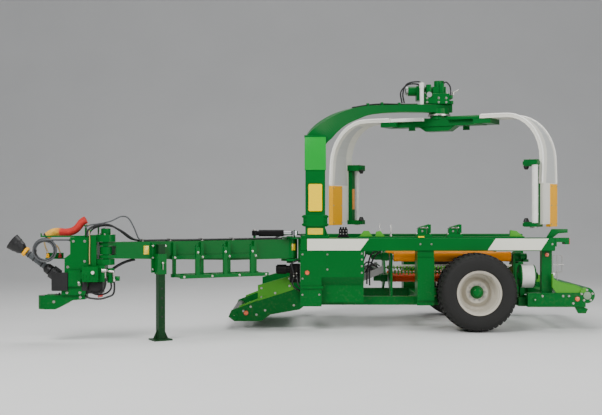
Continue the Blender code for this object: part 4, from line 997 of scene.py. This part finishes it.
    # Clips and a pipe pair along the top of the arch.
    top_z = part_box("arch_beam")[1][2]
    heading = math.atan2(PIVOT[1] + 1.05, PIVOT[0] - 0.195)
    way = Vector((math.cos(heading), math.sin(heading), 0))
    start = at(0.195, -1.05, 0)
    lift = ((0.62, 0.125), (0.86, 0.08), (1.10, 0.055), (1.40, 0.045), (1.70, 0.03))
    clips = []
    for s, drop in lift[1:4]:
        place = start + way * s + UP * (top_z - drop + 0.022)
        clips.append(moved(block((-0.02, -0.05, -0.035), (0.02, 0.05, 0.014), 0.005), aim(place, UP)))
    piece("arch_clips", clips, green)
    for k, aside in enumerate((-0.03, 0.03)):
        cross = Vector((-way.y, way.x, 0)) * aside
        points = [start + way * s + cross + UP * (top_z - drop + 0.014) for s, drop in lift]
        piece(f"arch_pipe_{k + 1}", [hose(smooth_path(points, 0.05), 0.010)], hose_black)


# ---------------------------------------------------------------- frame
def sticker(name, outline, y, finish, body="chassis", thick=0.0012):
    """A thin blank sticker on a face that looks to one side, at y."""
    way = -1 if y < 0 else 1
    made = plate([at(x, y, z) for x, z in outline], ACROSS * way * thick, 0)
    return piece(name, [made], finish, body)


def oblong(x, z, width, height, corner=0.006):
    """A flat outline with cut corners round its middle."""
    w, h, c = width / 2, height / 2, corner
    near = (
        (-w, -h + c), (-w + c, -h), (w - c, -h), (w, -h + c), (w, h - c), (w - c, h), (-w + c, h),
        (-w, h - c),
    )
    return [(x + dx, z + dz) for dx, dz in near]


def reflector(name, x, y, z, radius, finish, body="chassis"):
    way = ACROSS * (-1 if y < 0 else 1)
    back = turned(
        [(0, 0.004), (radius * 1.15, 0.004), (radius * 1.2, 0.002), (radius * 1.2, 0), (0, 0)],
        at(x, y, z), way, 32,
    )
    piece(f"{name}_ring", [back], plastic, body)
    dome = [(0, 0.012), (radius * 0.6, 0.011), (radius * 0.92, 0.008), (radius, 0.003), (0, 0.003)]
    piece(f"{name}_lens", [turned(dome, at(x, y, z), way, 32)], finish, body)


def build_frame():
    for name, side in SIDES:
        y = side * HALF_WIDTH
        for place, line in (
            ("front", ((0.085, 1.262), (0.925, 1.262), (0.808, 1.104), (0.085, 1.104))),
            ("rear", ((2.655, 1.266), (3.380, 1.266), (3.276, 1.108), (2.548, 1.108))),
        ):
            sticker(f"beam_sticker_{place}_{name}", line, y, decal)
        dots = [(0.36, 1.05), (0.36, 0.845), (0.83, 1.06), (0.83, 0.98), (0.83, 0.89), (0.83, 0.80)]
        dots += [(0.02, 1.05), (0.02, 0.72), (0.25, 0.50), (0.02, 0.50)]
        places = [(at(x, y, z), ACROSS * side) for x, z in dots]
        places += [(at(x, y, 1.19), ACROSS * side) for x in (1.63, 1.78, 3.43)]
        piece(f"panel_bolts_{name}", [bolts(places, 0.010)], zinc)
        seam = [block(at(0.352, y - side * 0.004, 0.745), at(0.356, y + side * 0.0015, 1.095), 0.001)]
        piece(f"panel_seam_{name}", seam, green)
        reflector(f"front_{name}", 0.085, y, 0.80, 0.03, orange_lens)
        reflector(f"post_{name}", 3.39, side * 0.99, 1.04, 0.028, orange_lens)
        lid = [block(at(0.30, y - side * 0.012, 0.772), at(0.30 + 0.004, y - side * 0.001, 1.09), 0.001)]
        piece(f"panel_edge_{name}", lid, green)

    # Tower: collar bolts, blank sign and reflector.
    tower_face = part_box("arch_tower")[0][1] - ZERO.y
    front = [(at(x, -1.172, z), -ACROSS) for x in (0.055, 0.335) for z in (1.455, 1.51, 1.565)]
    ends = [
        (at(x, y, z), ALONG * way)
        for x, way in ((0.03, -1), (0.36, 1))
        for y in (-1.13, -1.0)
        for z in (1.455, 1.565)
    ]
    piece("collar_bolts", [bolts(front + ends, 0.014)], green)
    sticker("tower_sign", oblong(0.195, 1.825, 0.185, 0.37, 0.012), tower_face, sign)
    sticker("tower_reflector", oblong(0.195, 1.365, 0.205, 0.085, 0.004), NEAR - 0.0105, yellow_lens)
    band = [block(at(0.050, -1.166, 2.20), at(0.340, -0.965, 2.67), 0.006)]
    piece("tower_panel", band, bright_green)
    rim = [block(at(0.045, -1.170, 2.650), at(0.345, -0.955, 2.676), 0.004)]
    piece("tower_flange", rim, green)

    # Valve block behind the tower, film catcher spikes, cutter parts.
    valve = blocks(
        at,
        ((0.50, -1.10, BEAM_TOP), (0.66, -1.0, BEAM_TOP + 0.022), 0.003),
        ((0.52, -1.10, BEAM_TOP + 0.02), (0.64, -1.01, BEAM_TOP + 0.12), 0.006),
    )
    valve += [
        rod(at(x, -1.055, BEAM_TOP + 0.11), at(x, -1.055, BEAM_TOP + 0.145), 0.013, 16)
        for x in (0.545, 0.58, 0.615)
    ]
    piece("valve_block", valve, black_paint)
    plugs = [
        rod(at(x, -1.095, z), at(x, -1.115, z), 0.010, 6) for x in (0.54, 0.58, 0.62) for z in (1.33, 1.37)
    ]
    piece("valve_plugs", plugs, zinc)
    spikes = []
    for x in (1.083, 1.234):
        foot = at(x, -1.05, BEAM_TOP + 0.012)
        spikes.append(
            turned(
                [(0, 0.175), (0.0035, 0.17), (0.009, 0.03), (0.020, 0.02), (0.020, 0), (0, 0)], foot, UP, 20
            )
        )
    piece("catcher_spikes", spikes, zinc)
    places = []
    for x in (1.68, 2.10):
        places += [
            (at(x + dx, -1.05 + dy, BEAM_TOP + 0.05), UP) for dx in (-0.09, 0.09) for dy in (-0.055, 0.055)
        ]
        places.append((at(x - 0.02, -1.098, BEAM_TOP + 0.09), -ACROSS))
    piece("cutter_bolts", [bolts(places, 0.010)], zinc)
    springs = []
    for x in (1.68, 2.10):
        coil = []
        for i in range(64):
            a = 2 * math.pi * i / 8
            coil.append(
                at(
                    x - 0.055 + 0.0018 * i, -1.105 + 0.013 * math.cos(a),
                    BEAM_TOP + 0.135 + 0.013 * math.sin(a),
                )
            )
        springs.append(hose(coil, 0.0028, 1))
    piece("cutter_springs", springs, zinc)
    blades = []
    for x in (1.68, 2.10):
        line = [
            at(x + u, -1.052, BEAM_TOP + 0.12 + v)
            for u, v in ((-0.10, 0), (0.05, 0), (0.03, 0.035), (-0.07, 0.025))
        ]
        blades.append(plate(line, ACROSS * 0.004, 0.001))
    piece("cutter_blades", blades, chrome)
    tags = [block(at(1.60, -1.142, BEAM_TOP + 0.003), at(1.68, -1.10, BEAM_TOP + 0.02), 0.002)]
    piece("cutter_tag", tags, sign)
    catchers = []
    for line in (
        ((0.80, 0.014), (0.86, 0.094), (0.93, 0.094), (0.98, 0.014)),
        ((1.02, 0.014), (1.03, 0.084), (1.09, 0.094), (1.15, 0.014)),
        ((2.86, 0.014), (2.87, 0.104), (2.95, 0.094), (3.05, 0.014)),
    ):
        catchers.append(plate([at(u, -1.0815, BEAM_TOP + v) for u, v in line], -ACROSS * 0.005, 0.001))
    piece("catcher_plates", catchers, light_green)

    # Hydraulic block and motor in front of the near panel.
    case = [
        block(at(-0.155, -1.08, 0.66), at(-0.012, -0.93, 0.915), 0.008),
        *rods(
            at,
            ((-0.20, -1.005, 0.84), (-0.15, -1.005, 0.84), 0.052, 28),
            ((-0.33, -1.005, 0.84), (-0.20, -1.005, 0.84), 0.066, 32),
            ((-0.345, -1.005, 0.84), (-0.325, -1.005, 0.84), 0.050, 32),
        ),
        block(at(-0.12, -1.09, 0.70), at(-0.04, -1.075, 0.80), 0.004),
    ]
    piece("hydraulic_block", case, black_paint)
    ends = [
        rod(at(x, -1.085, z), at(x, -1.112, z), 0.012, 6)
        for x in (-0.10, -0.06)
        for z in (0.72, 0.755, 0.79)
    ]
    piece("hydraulic_plugs", ends, zinc)
    lines = [
        run(
            at(-0.10, -1.11, 0.79), at(-0.11, -1.13, 0.83), at(-0.13, -1.12, 0.92), at(-0.06, -1.10, 0.96),
            at(0.0, -1.08, 0.97),
        ),
        run(at(-0.06, -1.11, 0.755), at(-0.05, -1.14, 0.72), at(-0.04, -1.15, 0.64), at(0.02, -1.10, 0.57)),
        run(at(-0.10, -1.11, 0.72), at(-0.12, -1.14, 0.68), at(-0.10, -1.14, 0.61), at(-0.01, -1.08, 0.55)),
    ]
    piece("hydraulic_hoses", lines, hose_black)

    # Rear: lamp bracket's lights, wire guard and drum end; a white sleeve round the green drum is its
    # painted highlight.
    lamp = [block(at(3.655, -1.135, 1.19), at(3.672, -0.985, 1.268), 0.004)]
    piece("rear_lamp", lamp, red_lens)
    upper = [(3.36, 1.2675), (3.44, 1.395), (3.657, 1.395), (3.657, 1.345), (3.53, 1.335), (3.44, 1.2675)]
    arm = [plate([at(x, -1.07, z) for x, z in upper], ACROSS * 0.03, 0.002)]
    piece("lamp_arm", arm, green)
    x0, x1, y = 3.475, 3.60, -0.98
    outline = [at(x0, y, 0.76), at(x0, y, 1.025), at(x1, y, 1.025), at(x1, y, 0.80), at(x0 + 0.03, y, 0.80)]
    wire = [
        hose(outline, 0.005),
        hose([at(x0 + 0.06, y, 0.66), at(x0 + 0.06, y, 1.02)], 0.006),
        hose([at(x0, y, 0.90), at(x1 + 0.03, y, 0.90)], 0.005),
    ]
    wire.append(block(at(3.45, -0.995, 0.74), at(3.50, -0.965, 0.79), 0.004))
    piece("lamp_guard", wire, zinc)
    drum = [
        turned(
            [(0.052, 0.008), (0.14, 0.008), (0.15, 0.004), (0.15, -0.004), (0.052, -0.004), (0.052, 0.008)],
            at(3.253, -0.80, 0.734), ALONG,
        )
    ]
    drum.append(
        turned(
            [(0.052, 0.008), (0.14, 0.008), (0.15, 0.004), (0.15, -0.004), (0.052, -0.004), (0.052, 0.008)],
            at(3.047, -0.80, 0.734), -ALONG,
        )
    )
    piece("drum_flanges", drum, green)
    # A thin white sleeve all round the green drum: a painted highlight standing in for the shine along its
    # top.
    highlight_sleeve = turned(
        [(0.1605, 0.085), (0.1625, 0.083), (0.1625, -0.083), (0.1605, -0.085), (0.1605, 0.085)],
        at(3.15, -0.80, 0.734), ALONG, 64,
    )
    piece("drum_painted_highlight", [highlight_sleeve], white_plastic)


# ---------------------------------------------------------------- drawbar and its hoses
def build_drawbar():
    top = DRAWBAR_TOP
    outer = 0.085
    lines = []
    for k, (aside, radius) in enumerate(((-0.035, 0.011), (-0.008, 0.009), (0.018, 0.011), (0.042, 0.008))):
        root = 0.068 if aside > 0 else -0.068
        z = top + radius + 0.002
        waves = [
            on_drawbar(0.16, root, z), on_drawbar(0.42, root, z), on_drawbar(0.62, root * 0.95, z),
            on_drawbar(0.78, aside, z),
            on_drawbar(1.10, aside + 0.006, z + 0.003 * (k % 2)),
            on_drawbar(1.50, aside - 0.004, z),
            on_drawbar(1.90, aside + 0.004, z + 0.003),
            on_drawbar(2.22, aside, z),
        ]
        lines.append(hose(smooth_path(waves, 0.05), radius))
    piece("drawbar_hoses", lines, hose_black, "drawbar")
    clamps = []
    for along in (0.90, 1.35, 1.80, 2.18):
        line = [
            on_drawbar(along, t, top + z)
            for t, z in ((-0.062, 0), (-0.056, 0.030), (0.056, 0.030), (0.062, 0))
        ]
        clamps.append(hose(line, 0.005, 2))
        for t in (-0.064, 0.064):
            clamps.append(block((-0.014, -0.012, 0.0), (0.014, 0.012, 0.005), 0.001))
            moved(clamps[-1], aim(on_drawbar(along, t, top), UP))
    piece("hose_clamps", clamps, zinc, "drawbar")

    # Loops of hose from the drawbar over the head's pin, and from the frame over the swing pin.
    over = [
        (
            (2.20, -0.035, 1.268), (2.32, -0.03, 1.30), (2.46, -0.02, 1.40), (2.60, 0.0, 1.47),
            (2.72, 0.02, 1.475), (2.84, 0.02, 1.445), (2.89, 0.015, 1.40), (2.90, 0.01, 1.345),
        ),
        (
            (2.20, 0.018, 1.268), (2.30, 0.02, 1.295), (2.43, 0.01, 1.385), (2.57, 0.0, 1.452),
            (2.70, -0.01, 1.46), (2.80, -0.015, 1.43), (2.85, -0.015, 1.385), (2.86, -0.015, 1.345),
        ),
        (
            (2.20, 0.042, 1.266), (2.24, 0.045, 1.31), (2.30, 0.04, 1.45), (2.37, 0.03, 1.56),
            (2.46, 0.015, 1.575), (2.58, 0.0, 1.52), (2.74, 0.0, 1.485), (2.86, 0.01, 1.472),
            (2.92, 0.01, 1.44),
        ),
    ]
    for k, line in enumerate(over):
        made = run(*(on_drawbar(*p) for p in line), radius=(0.013, 0.011, 0.009)[k])
        jumper = piece(f"head_hose_{k + 1}", [made], (hose_black, hose_black, cable_grey)[k], None)
        tuple(on_drawbar(2.40, 0, 1.40))
        tuple(on_drawbar(2.80, 0, 1.40))
        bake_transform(jumper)
    under = [
        (2.28, 0.02, 1.035), (2.36, 0.02, 1.02), (2.46, 0.02, 0.985), (2.56, 0.025, 0.93),
        (2.63, 0.03, 0.87), (2.70, 0.05, 0.83),
    ]
    for k, shift in enumerate((0, 0.025)):
        made = run(*(on_drawbar(a, t + shift, z - shift * 0.4) for a, t, z in under), radius=0.011)
        jumper = piece(f"pump_hose_{k + 1}", [made], hose_black, None)
        tuple(on_drawbar(2.36, 0, 1.0))
        tuple(on_drawbar(2.66, 0, 0.9))
        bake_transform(jumper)
    for k, (shift, aside, lift) in enumerate(
        ((0.0, 0.0, 0.0), (0.02, 0.025, 0.004), (-0.02, -0.03, 0.002))
    ):
        line = [
            on_drawbar(0.20, -0.068, top + 0.013),
            on_drawbar(0.12, -0.055 + aside, top + 0.045 + lift),
            on_drawbar(0.02, -0.02 + aside, top + 0.065 + lift),
            at(-0.10, -0.92 + aside, top + 0.065 + lift),
            at(0.0, -0.915 + aside, top + 0.055),
            at(0.05, -0.91 + aside, top + 0.036),
        ]
        jumper = piece(f"swing_hose_{k + 1}", [run(*line, radius=0.010)], hose_black, None)
        tuple(on_drawbar(0.14, -0.05, top))
        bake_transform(jumper)
    sticker_at = [
        on_drawbar(2.145 + du, outer + 0.0015, 1.148 + dz)
        for du, dz in ((-0.035, -0.055), (0.035, -0.055), (0.035, 0.055), (-0.035, 0.055))
    ]
    way = on_drawbar(0, 1, 0) - on_drawbar(0, 0, 0)
    piece("drawbar_reflector", [plate(sticker_at, way * 0.003, 0.0005)], yellow_lens, "drawbar")
    low = on_drawbar(0.0, 0.104, 1.148)
    tag = [
        low + (on_drawbar(du, 0, dz) - on_drawbar(0, 0, 0))
        for du, dz in ((-0.028, -0.045), (0.028, -0.045), (0.028, 0.045), (-0.028, 0.045))
    ]
    piece("root_reflector", [plate(tag, way * 0.003, 0.0005)], yellow_lens, "drawbar")

    # Rack: tray boards, hoops and bolts; leg: sleeve bolts, pin, foot ribs and holes.
    wall, depth = 0.0853, 0.345
    far = wall + depth
    pitch = (1.25 - 0.08) / 3
    nuts, hoops = [], []
    for i in range(4):
        along = 0.56 + 0.04 + i * pitch
        for z in (1.045, 0.812):
            nuts.append((on_drawbar(along, wall + 0.05, z), way))
        nuts.append((on_drawbar(along, far, 0.812), way))
    for i in range(3):
        along = 0.56 + 0.045 + (i + 0.5) * pitch
        nuts.append((on_drawbar(along, far, 1.12), way))
        hoops.append(
            run_on(
                on_drawbar, (along, far - 0.02, 1.18), (along, far - 0.02, 1.205),
                (along, far - 0.06, 1.215), (along, far - 0.09, 1.19), radius=0.006,
            )
        )
    piece("rack_bolts", [bolts(nuts, 0.011)], zinc, "drawbar")
    piece("rack_hooks", hoops, green, "drawbar")
    trays = []
    for i in range(3):
        along = 0.56 + 0.045 + (i + 0.5) * pitch
        place = on_drawbar(along, wall + 0.17, 0.8285)
        trays.append(
            turned([(0.04, 0.003), (0.085, 0.003), (0.088, 0.0), (0.04, 0.0), (0.04, 0.003)], place, UP, 40)
        )
    piece("rack_trays", trays, green, "drawbar")
    leg = 0.085 + 0.03 + 0.045
    pin = rods(
        on_drawbar,
        ((LEG_ALONG, leg + 0.055, 0.985), (LEG_ALONG, leg + 0.085, 0.985), 0.013, 20),
        ((LEG_ALONG, leg + 0.080, 0.985), (LEG_ALONG, leg + 0.080, 0.90), 0.006, 12),
    )
    piece("leg_pin", pin, zinc, "drawbar")
    nuts = [
        (on_drawbar(LEG_ALONG + du, 0.117, z), way) for du in (-0.085, 0.085) for z in (0.90, 1.05, 1.20)
    ]
    piece("sleeve_bolts", [bolts(nuts, 0.011)], zinc, "drawbar")
    ribs = []
    for sign_u in (-1, 1):
        line = [
            on_drawbar(LEG_ALONG + sign_u * 0.047, leg - 0.003, 0.02),
            on_drawbar(LEG_ALONG + sign_u * 0.105, leg - 0.003, 0.02),
            on_drawbar(LEG_ALONG + sign_u * 0.047, leg - 0.003, 0.14),
        ]
        ribs.append(plate(line, way * 0.006, 0))
    piece("foot_ribs", ribs, deep_green, "stand_leg")
    holes = [
        turned(
            [(0, 0.0015), (0.011, 0.0015), (0.013, 0), (0, 0)],
            on_drawbar(LEG_ALONG, leg + 0.0452, z),
            way, 20,
        )
        for z in (0.30, 0.42, 0.54, 0.66)
    ]
    piece("leg_holes", holes, plastic, "stand_leg")
    ends = [rod(on_drawbar(0.55, 0, 1.374), on_drawbar(0.55, 0, 1.392), 0.026, 24)]
    piece("ram_pin_cap", ends, zinc, "drawbar")


def build_head():
    body = "hitch_head"
    nuts = [
        (on_head(0.085 * math.cos(a), 0.085 * math.sin(a), 1.35), UP)
        for a in (math.radians(60 * i + 30) for i in range(6))
    ]
    piece("pivot_bolts", [bolts(nuts, 0.012)], zinc, body)
    piece(
        "pivot_cap",
        [
            turned(
                [(0, 0.012), (0.03, 0.010), (0.045, 0.002), (0.045, -0.02), (0, -0.02)],
                on_head(0, 0, 1.425), UP, 32,
            )
        ],
        cast, body,
    )
    grease = [rod(on_head(0.0, 0, 1.43), on_head(0.0, 0, 1.455), 0.006, 10)]
    piece("grease_nipple", grease, zinc, body)
    near = -0.1303
    places = [
        (on_head(x, near, z), -ACROSS)
        for x, z in (
            (-0.24, 1.27), (-0.38, 1.27), (-0.24, 1.02), (-0.45, 0.95), (-0.46, 0.63), (-0.30, 0.63)
        )
    ]
    places.append((on_head(-0.30, near - 0.03, 0.735), -ACROSS))
    piece("neck_bolts", [bolts(places, 0.013)], zinc, body)
    knob = [
        turned(
            [(0, 0.03), (0.016, 0.028), (0.022, 0.016), (0.02, 0.0), (0, 0)],
            on_head(-0.12, -0.2205, 0.885), -ACROSS, 28,
        )
    ]
    knob.append(
        turned(
            [(0, 0.02), (0.010, 0.018), (0.012, 0.0), (0, 0)],
            on_head(-0.305, near - 0.031, 0.76),
            -ACROSS, 20,
        )
    )
    piece("pump_caps", knob, white_plastic, body)
    rib = []
    for i in range(5):
        rib.append(
            block(
                on_head(-0.24 + 0.038 * i, -0.226, 0.79), on_head(-0.232 + 0.038 * i, -0.2195, 0.865), 0.002
            )
        )
    piece("pump_ribs", rib, green, body)
    # Black blocks put where shade falls between the neck and the pump's hose loops: painted shade.
    shade = blocks(
        on_head,
        ((-0.275, -0.1335, 0.655), (-0.205, -0.1306, 0.765), 0.001),
        ((-0.245, -0.095, 0.615), (-0.03, 0.085, 0.762), 0.01),
    )
    piece("pump_shade_blocks", shade, plastic, body)
    white = rods(
        on_head,
        ((-0.03, -0.12, 0.905), (0.03, -0.12, 0.905), 0.026, 24),
        ((0.03, -0.12, 0.905), (0.045, -0.12, 0.905), 0.020, 6),
        ((0.015, -0.12, 0.90), (0.015, -0.12, 0.81), 0.013, 20),
        ((0.055, -0.095, 0.895), (0.12, -0.095, 0.89), 0.016, 24),
        ((0.11, -0.095, 0.90), (0.12, -0.095, 0.79), 0.014, 20),
        ((0.12, -0.095, 0.795), (0.12, -0.095, 0.765), 0.018, 6),
    )
    piece("pump_fittings", white, zinc, body)
    loops = [
        run_on(
            on_head, (0.12, -0.095, 0.78), (0.125, -0.095, 0.70), (0.11, -0.095, 0.61),
            (0.04, -0.10, 0.575), (-0.06, -0.10, 0.55), (-0.20, -0.09, 0.565), (-0.25, -0.08, 0.60),
            radius=0.012,
        ),
        run_on(
            on_head, (0.015, -0.12, 0.82), (0.02, -0.125, 0.74), (-0.01, -0.12, 0.66), (-0.10, -0.11, 0.62),
            (-0.18, -0.10, 0.64), radius=0.011,
        ),
        run_on(
            on_head, (0.07, -0.04, 0.76), (0.075, -0.05, 0.68), (0.02, -0.06, 0.62), (-0.08, -0.06, 0.60),
            (-0.19, -0.05, 0.63), radius=0.011,
        ),
        run_on(
            on_head, (-0.05, 0.08, 0.78), (-0.03, 0.09, 0.68), (-0.10, 0.09, 0.62), (-0.20, 0.08, 0.64),
            radius=0.011,
        ),
    ]
    piece("pump_loops", loops, hose_black, body)
    mark = [run_on(on_head, (-0.02, -0.098, 0.592), (-0.08, -0.10, 0.578), radius=0.0125, step=0.02)]
    piece("red_band", mark, red_lens, body)

    # Connector rack in front of the neck, with a yellow and a red coupling.
    rack = blocks(
        on_head,
        ((-0.76, -0.012, 1.045), (-0.412, 0.05, 1.055), 0.002),
        ((-0.76, 0.044, 1.05), (-0.54, 0.05, 1.12), 0.002),
        ((-0.42, -0.012, 1.046), (-0.412, 0.05, 1.15), 0.002),
    )
    piece("coupling_rack", rack, green, body)
    for name, x, finish in (("yellow", -0.735, yellow), ("red", -0.58, red_lens)):
        profile = [
            (0, 0.055), (0.014, 0.055), (0.017, 0.05), (0.017, 0.028), (0.023, 0.026), (0.023, 0.004),
            (0.017, 0.0), (0, 0),
        ]
        piece(f"{name}_coupling", [turned(profile, on_head(x, 0.018, 1.056), UP, 28)], finish, body)
    stem = [rod(on_head(x, 0.018, 1.111), on_head(x, 0.018, 1.135), 0.010, 6) for x in (-0.735, -0.58)]
    piece("coupling_stems", stem, zinc, body)
    tails = [
        run_on(
            on_head, (-0.735, 0.03, 1.335), (-0.775, 0.026, 1.28), (-0.765, 0.02, 1.20),
            (-0.735, 0.018, 1.13), radius=0.009,
        ),
        run_on(
            on_head, (-0.725, 0.01, 1.33), (-0.735, 0.012, 1.27), (-0.62, 0.02, 1.21), (-0.58, 0.018, 1.13),
            radius=0.009,
        ),
    ]
    piece("coupling_hoses", tails, rope, body)
    line = [
        on_head(-0.18, -0.135, 1.405), on_head(-0.175, -0.137, 1.30), on_head(-0.178, -0.137, 1.10),
        on_head(-0.176, -0.137, 0.985),
    ]
    piece("pull_rope", [hose(smooth_path(line, 0.04), 0.006)], rope, body)
    tie = blocks(
        on_head,
        ((-0.21, -0.139, 1.395), (-0.15, -0.09, 1.41), 0.003),
        ((-0.20, -0.132, 0.975), (-0.155, -0.12, 0.99), 0.003),
    )
    piece("rope_eyes", tie, green, body)
    brace = [run_on(on_head, (-0.25, 0.0, 1.47), (-0.16, 0.0, 1.478), (-0.08, 0.0, 1.476), radius=0.006)]
    piece("stand_cord", brace, rope, body)
    hook = blocks(
        on_head,
        ((-0.10, -0.02, 1.345), (-0.085, 0.02, 1.475), 0.003),
        ((-0.10, -0.03, 1.465), (-0.03, 0.03, 1.475), 0.003),
    )
    piece("hose_hook", hook, green, body)

    # Hitch bar: worn pin plate; drive shaft: guard cone, yellow collar, rings and bell.
    wear = turned(
        [(0.034, 0.004), (0.07, 0.004), (0.074, 0.0), (0.034, 0.0), (0.034, 0.004)],
        on_head(-0.744, 0, 0.588), UP, 40,
    )
    piece("hitch_wear_ring", [wear], steel, body)
    nuts = [(on_head(x, y, 0.60), UP) for x in (-0.60, -0.54) for y in (-0.07, 0.07)]
    nuts += [(on_head(x, -0.10, z), -ACROSS) for x, z in ((-0.63, 0.515), (-0.30, 0.573))]
    piece("hitch_bolts", [bolts(nuts, 0.013)], zinc, body)
    slope = math.radians(37)
    start = on_head(-0.60, 0, 0.83)
    way = Vector((-math.cos(slope), 0, math.sin(slope)))
    cone = [
        (0.046, 0.530), (0.056, 0.545), (0.074, 0.575), (0.080, 0.590), (0.078, 0.600), (0.090, 0.635),
        (0.096, 0.650), (0.094, 0.660), (0.102, 0.695), (0.1065, 0.722), (0.101, 0.722), (0.088, 0.66),
        (0.06, 0.60), (0.040, 0.56), (0.040, 0.530), (0.046, 0.530),
    ]
    piece("shaft_cone", [turned(cone, start, way, 56)], plastic, "drive_shaft")
    collar = [
        (0.0405, 0.485), (0.058, 0.487), (0.062, 0.492), (0.062, 0.522), (0.058, 0.528), (0.0405, 0.53),
        (0.0405, 0.485),
    ]
    piece("shaft_collar", [turned(collar, start, way, 40)], yellow, "drive_shaft")
    rings = [
        turned(
            [(0.0405, s), (0.045, s + 0.003), (0.045, s + 0.012), (0.0405, s + 0.015), (0.0405, s)],
            start, way, 36,
        )
        for s in (0.24, 0.36, 0.44)
    ]
    piece("shaft_rings", rings, plastic, "drive_shaft")
    bell = [
        (0.062, 0.111), (0.068, 0.121), (0.062, 0.16), (0.066, 0.168), (0.050, 0.192), (0.044, 0.20),
        (0.0405, 0.20),
    ]
    piece(
        "shaft_bell",
        [turned([*bell, (0.0405, 0.14), (0.062, 0.111)], start, way, 40)],
        plastic, "drive_shaft",
    )


# ---------------------------------------------------------------- infeed and tail
def build_tables():
    low, high = (Vector(corner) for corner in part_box("infeed_roller"))
    middle = (low + high) / 2
    slats = []
    for i in range(10):
        a = 2 * math.pi * i / 10
        slat = block((-0.006, -0.79, 0.055), (0.006, 0.79, 0.0645), 0.001)
        slats.append(moved(slat, Matrix.Translation(middle) @ Matrix.Rotation(a, 4, "Y")))
    piece("nose_slats", slats, steel, "infeed_roller")
    for name, side in SIDES:
        face = side * 0.86
        out = ACROSS * side
        places = [
            (at(x, side * 0.866, z), out)
            for x, z in ((-0.55, 0.44), (-0.55, 0.57), (-0.36, 0.50), (-0.16, 0.60), (-0.16, 0.70))
        ]
        places += [
            (at(x, face, z), out)
            for x, z in (
                (-0.93, 0.19), (-0.80, 0.25), (-0.70, 0.31), (-0.50, 0.26), (-0.10, 0.33), (-0.62, 0.20)
            )
        ]
        piece(f"infeed_bolts_{name}", [bolts(places, 0.012)], zinc, "infeed")
        reflector(f"infeed_{name}", -0.765, face, 0.224, 0.032, orange_lens, "infeed")
        strut = [
            plate(
                [
                    at(a, face, b)
                    for a, b in ((-0.86, 0.325), (-0.50, 0.462), (-0.50, 0.438), (-0.86, 0.30))
                ],
                out * 0.02, 0.002,
            )
        ]
        piece(f"infeed_rail_{name}", strut, light_green, "infeed")
        chain = [
            turned(
                [(0, 0.016), (0.055, 0.016), (0.06, 0.008), (0.055, 0.0), (0, 0)],
                at(INFEED_NOSE_X, face, 0.19), out, 32,
            )
        ]
        piece(f"nose_cap_{name}", chain, green, "infeed")
        edge = side * 1.12
        hub = [
            (0, 0.022), (0.022, 0.022), (0.026, 0.016), (0.05, 0.014), (0.054, 0.008), (0.054, 0.0), (0, 0)
        ]
        piece(f"tail_hub_{name}", [turned(hub, at(3.91, edge, 0.487), out, 40)], tail_hub, "tail")
        places = [
            (at(3.91 + 0.078 * math.cos(a), edge, 0.487 + 0.078 * math.sin(a)), out)
            for a in (math.radians(72 * i + 20) for i in range(5))
        ]
        places += [
            (at(x, edge, z), out)
            for x, z in ((3.20, 0.43), (3.30, 0.48), (3.58, 0.48), (3.66, 0.48), (3.72, 0.38))
        ]
        piece(f"tail_bolts_{name}", [bolts(places, 0.012)], zinc, "tail")
        reflector(f"tail_{name}", 3.776, edge, 0.44, 0.032, orange_lens, "tail")
        edge_line = ((3.445, 0.782), (3.472, 0.703), (3.56, 0.664), (3.75, 0.624), (3.90, 0.554))
        lip = [run(*(at(x, side * 1.065, z) for x, z in edge_line), radius=0.009)]
        piece(f"tail_guard_lip_{name}", lip, light_green, "tail")
        seam = blocks(
            at,
            ((3.12, edge - side * 0.001, 0.345), (3.80, edge + side * 0.004, 0.352), 0.001),
            ((3.12, edge - side * 0.001, 0.50), (3.80, edge + side * 0.004, 0.507), 0.001),
        )
        piece(f"tail_edges_{name}", seam, green, "tail")
    slats = []
    for i in range(8):
        s = i / 7
        place = at(-0.78 + 0.66 * s, 0, 0.226 + 0.224 * s)
        slats.append(
            block(place + Vector((-0.012, -0.69, 0.004)), place + Vector((0.012, 0.69, 0.022)), 0.003)
        )
    piece("deck_slats", slats, steel, "infeed")
    slats = []
    for i in range(11):
        s = i / 10
        place = at(0.34 + 0.78 * s, 0, 0.520 + 0.325 * s)
        slats.append(
            block(place + Vector((-0.010, -0.495, 0.004)), place + Vector((0.010, 0.495, 0.020)), 0.003)
        )
    piece("conveyor_slats", slats, steel)


tyre_rubber = {}
for wheel, _ in SIDES:
    tyre_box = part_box(f"tyre_{wheel}")
    tyre_rubber[wheel] = rubber(f"tyre_rubber_{wheel}", (Vector(tyre_box[0]) + Vector(tyre_box[1])) / 2)
sleeve_cloth = woven("hose_sleeve_cloth", tint(120, 30, 20), on_head(-0.56, 0, 0).x)
arm_edge = painted("arm_edge_paint", tint(244, 243, 236), dust=0.0)
tail_hub = painted("tail_hub_paint", tint(133, 152, 130), dust=0.2)

finish_nodes()
build_studio()
build_cords()
build_wheels()
build_rollers()
build_satellite()
build_frame()
build_drawbar()
build_head()
build_tables()
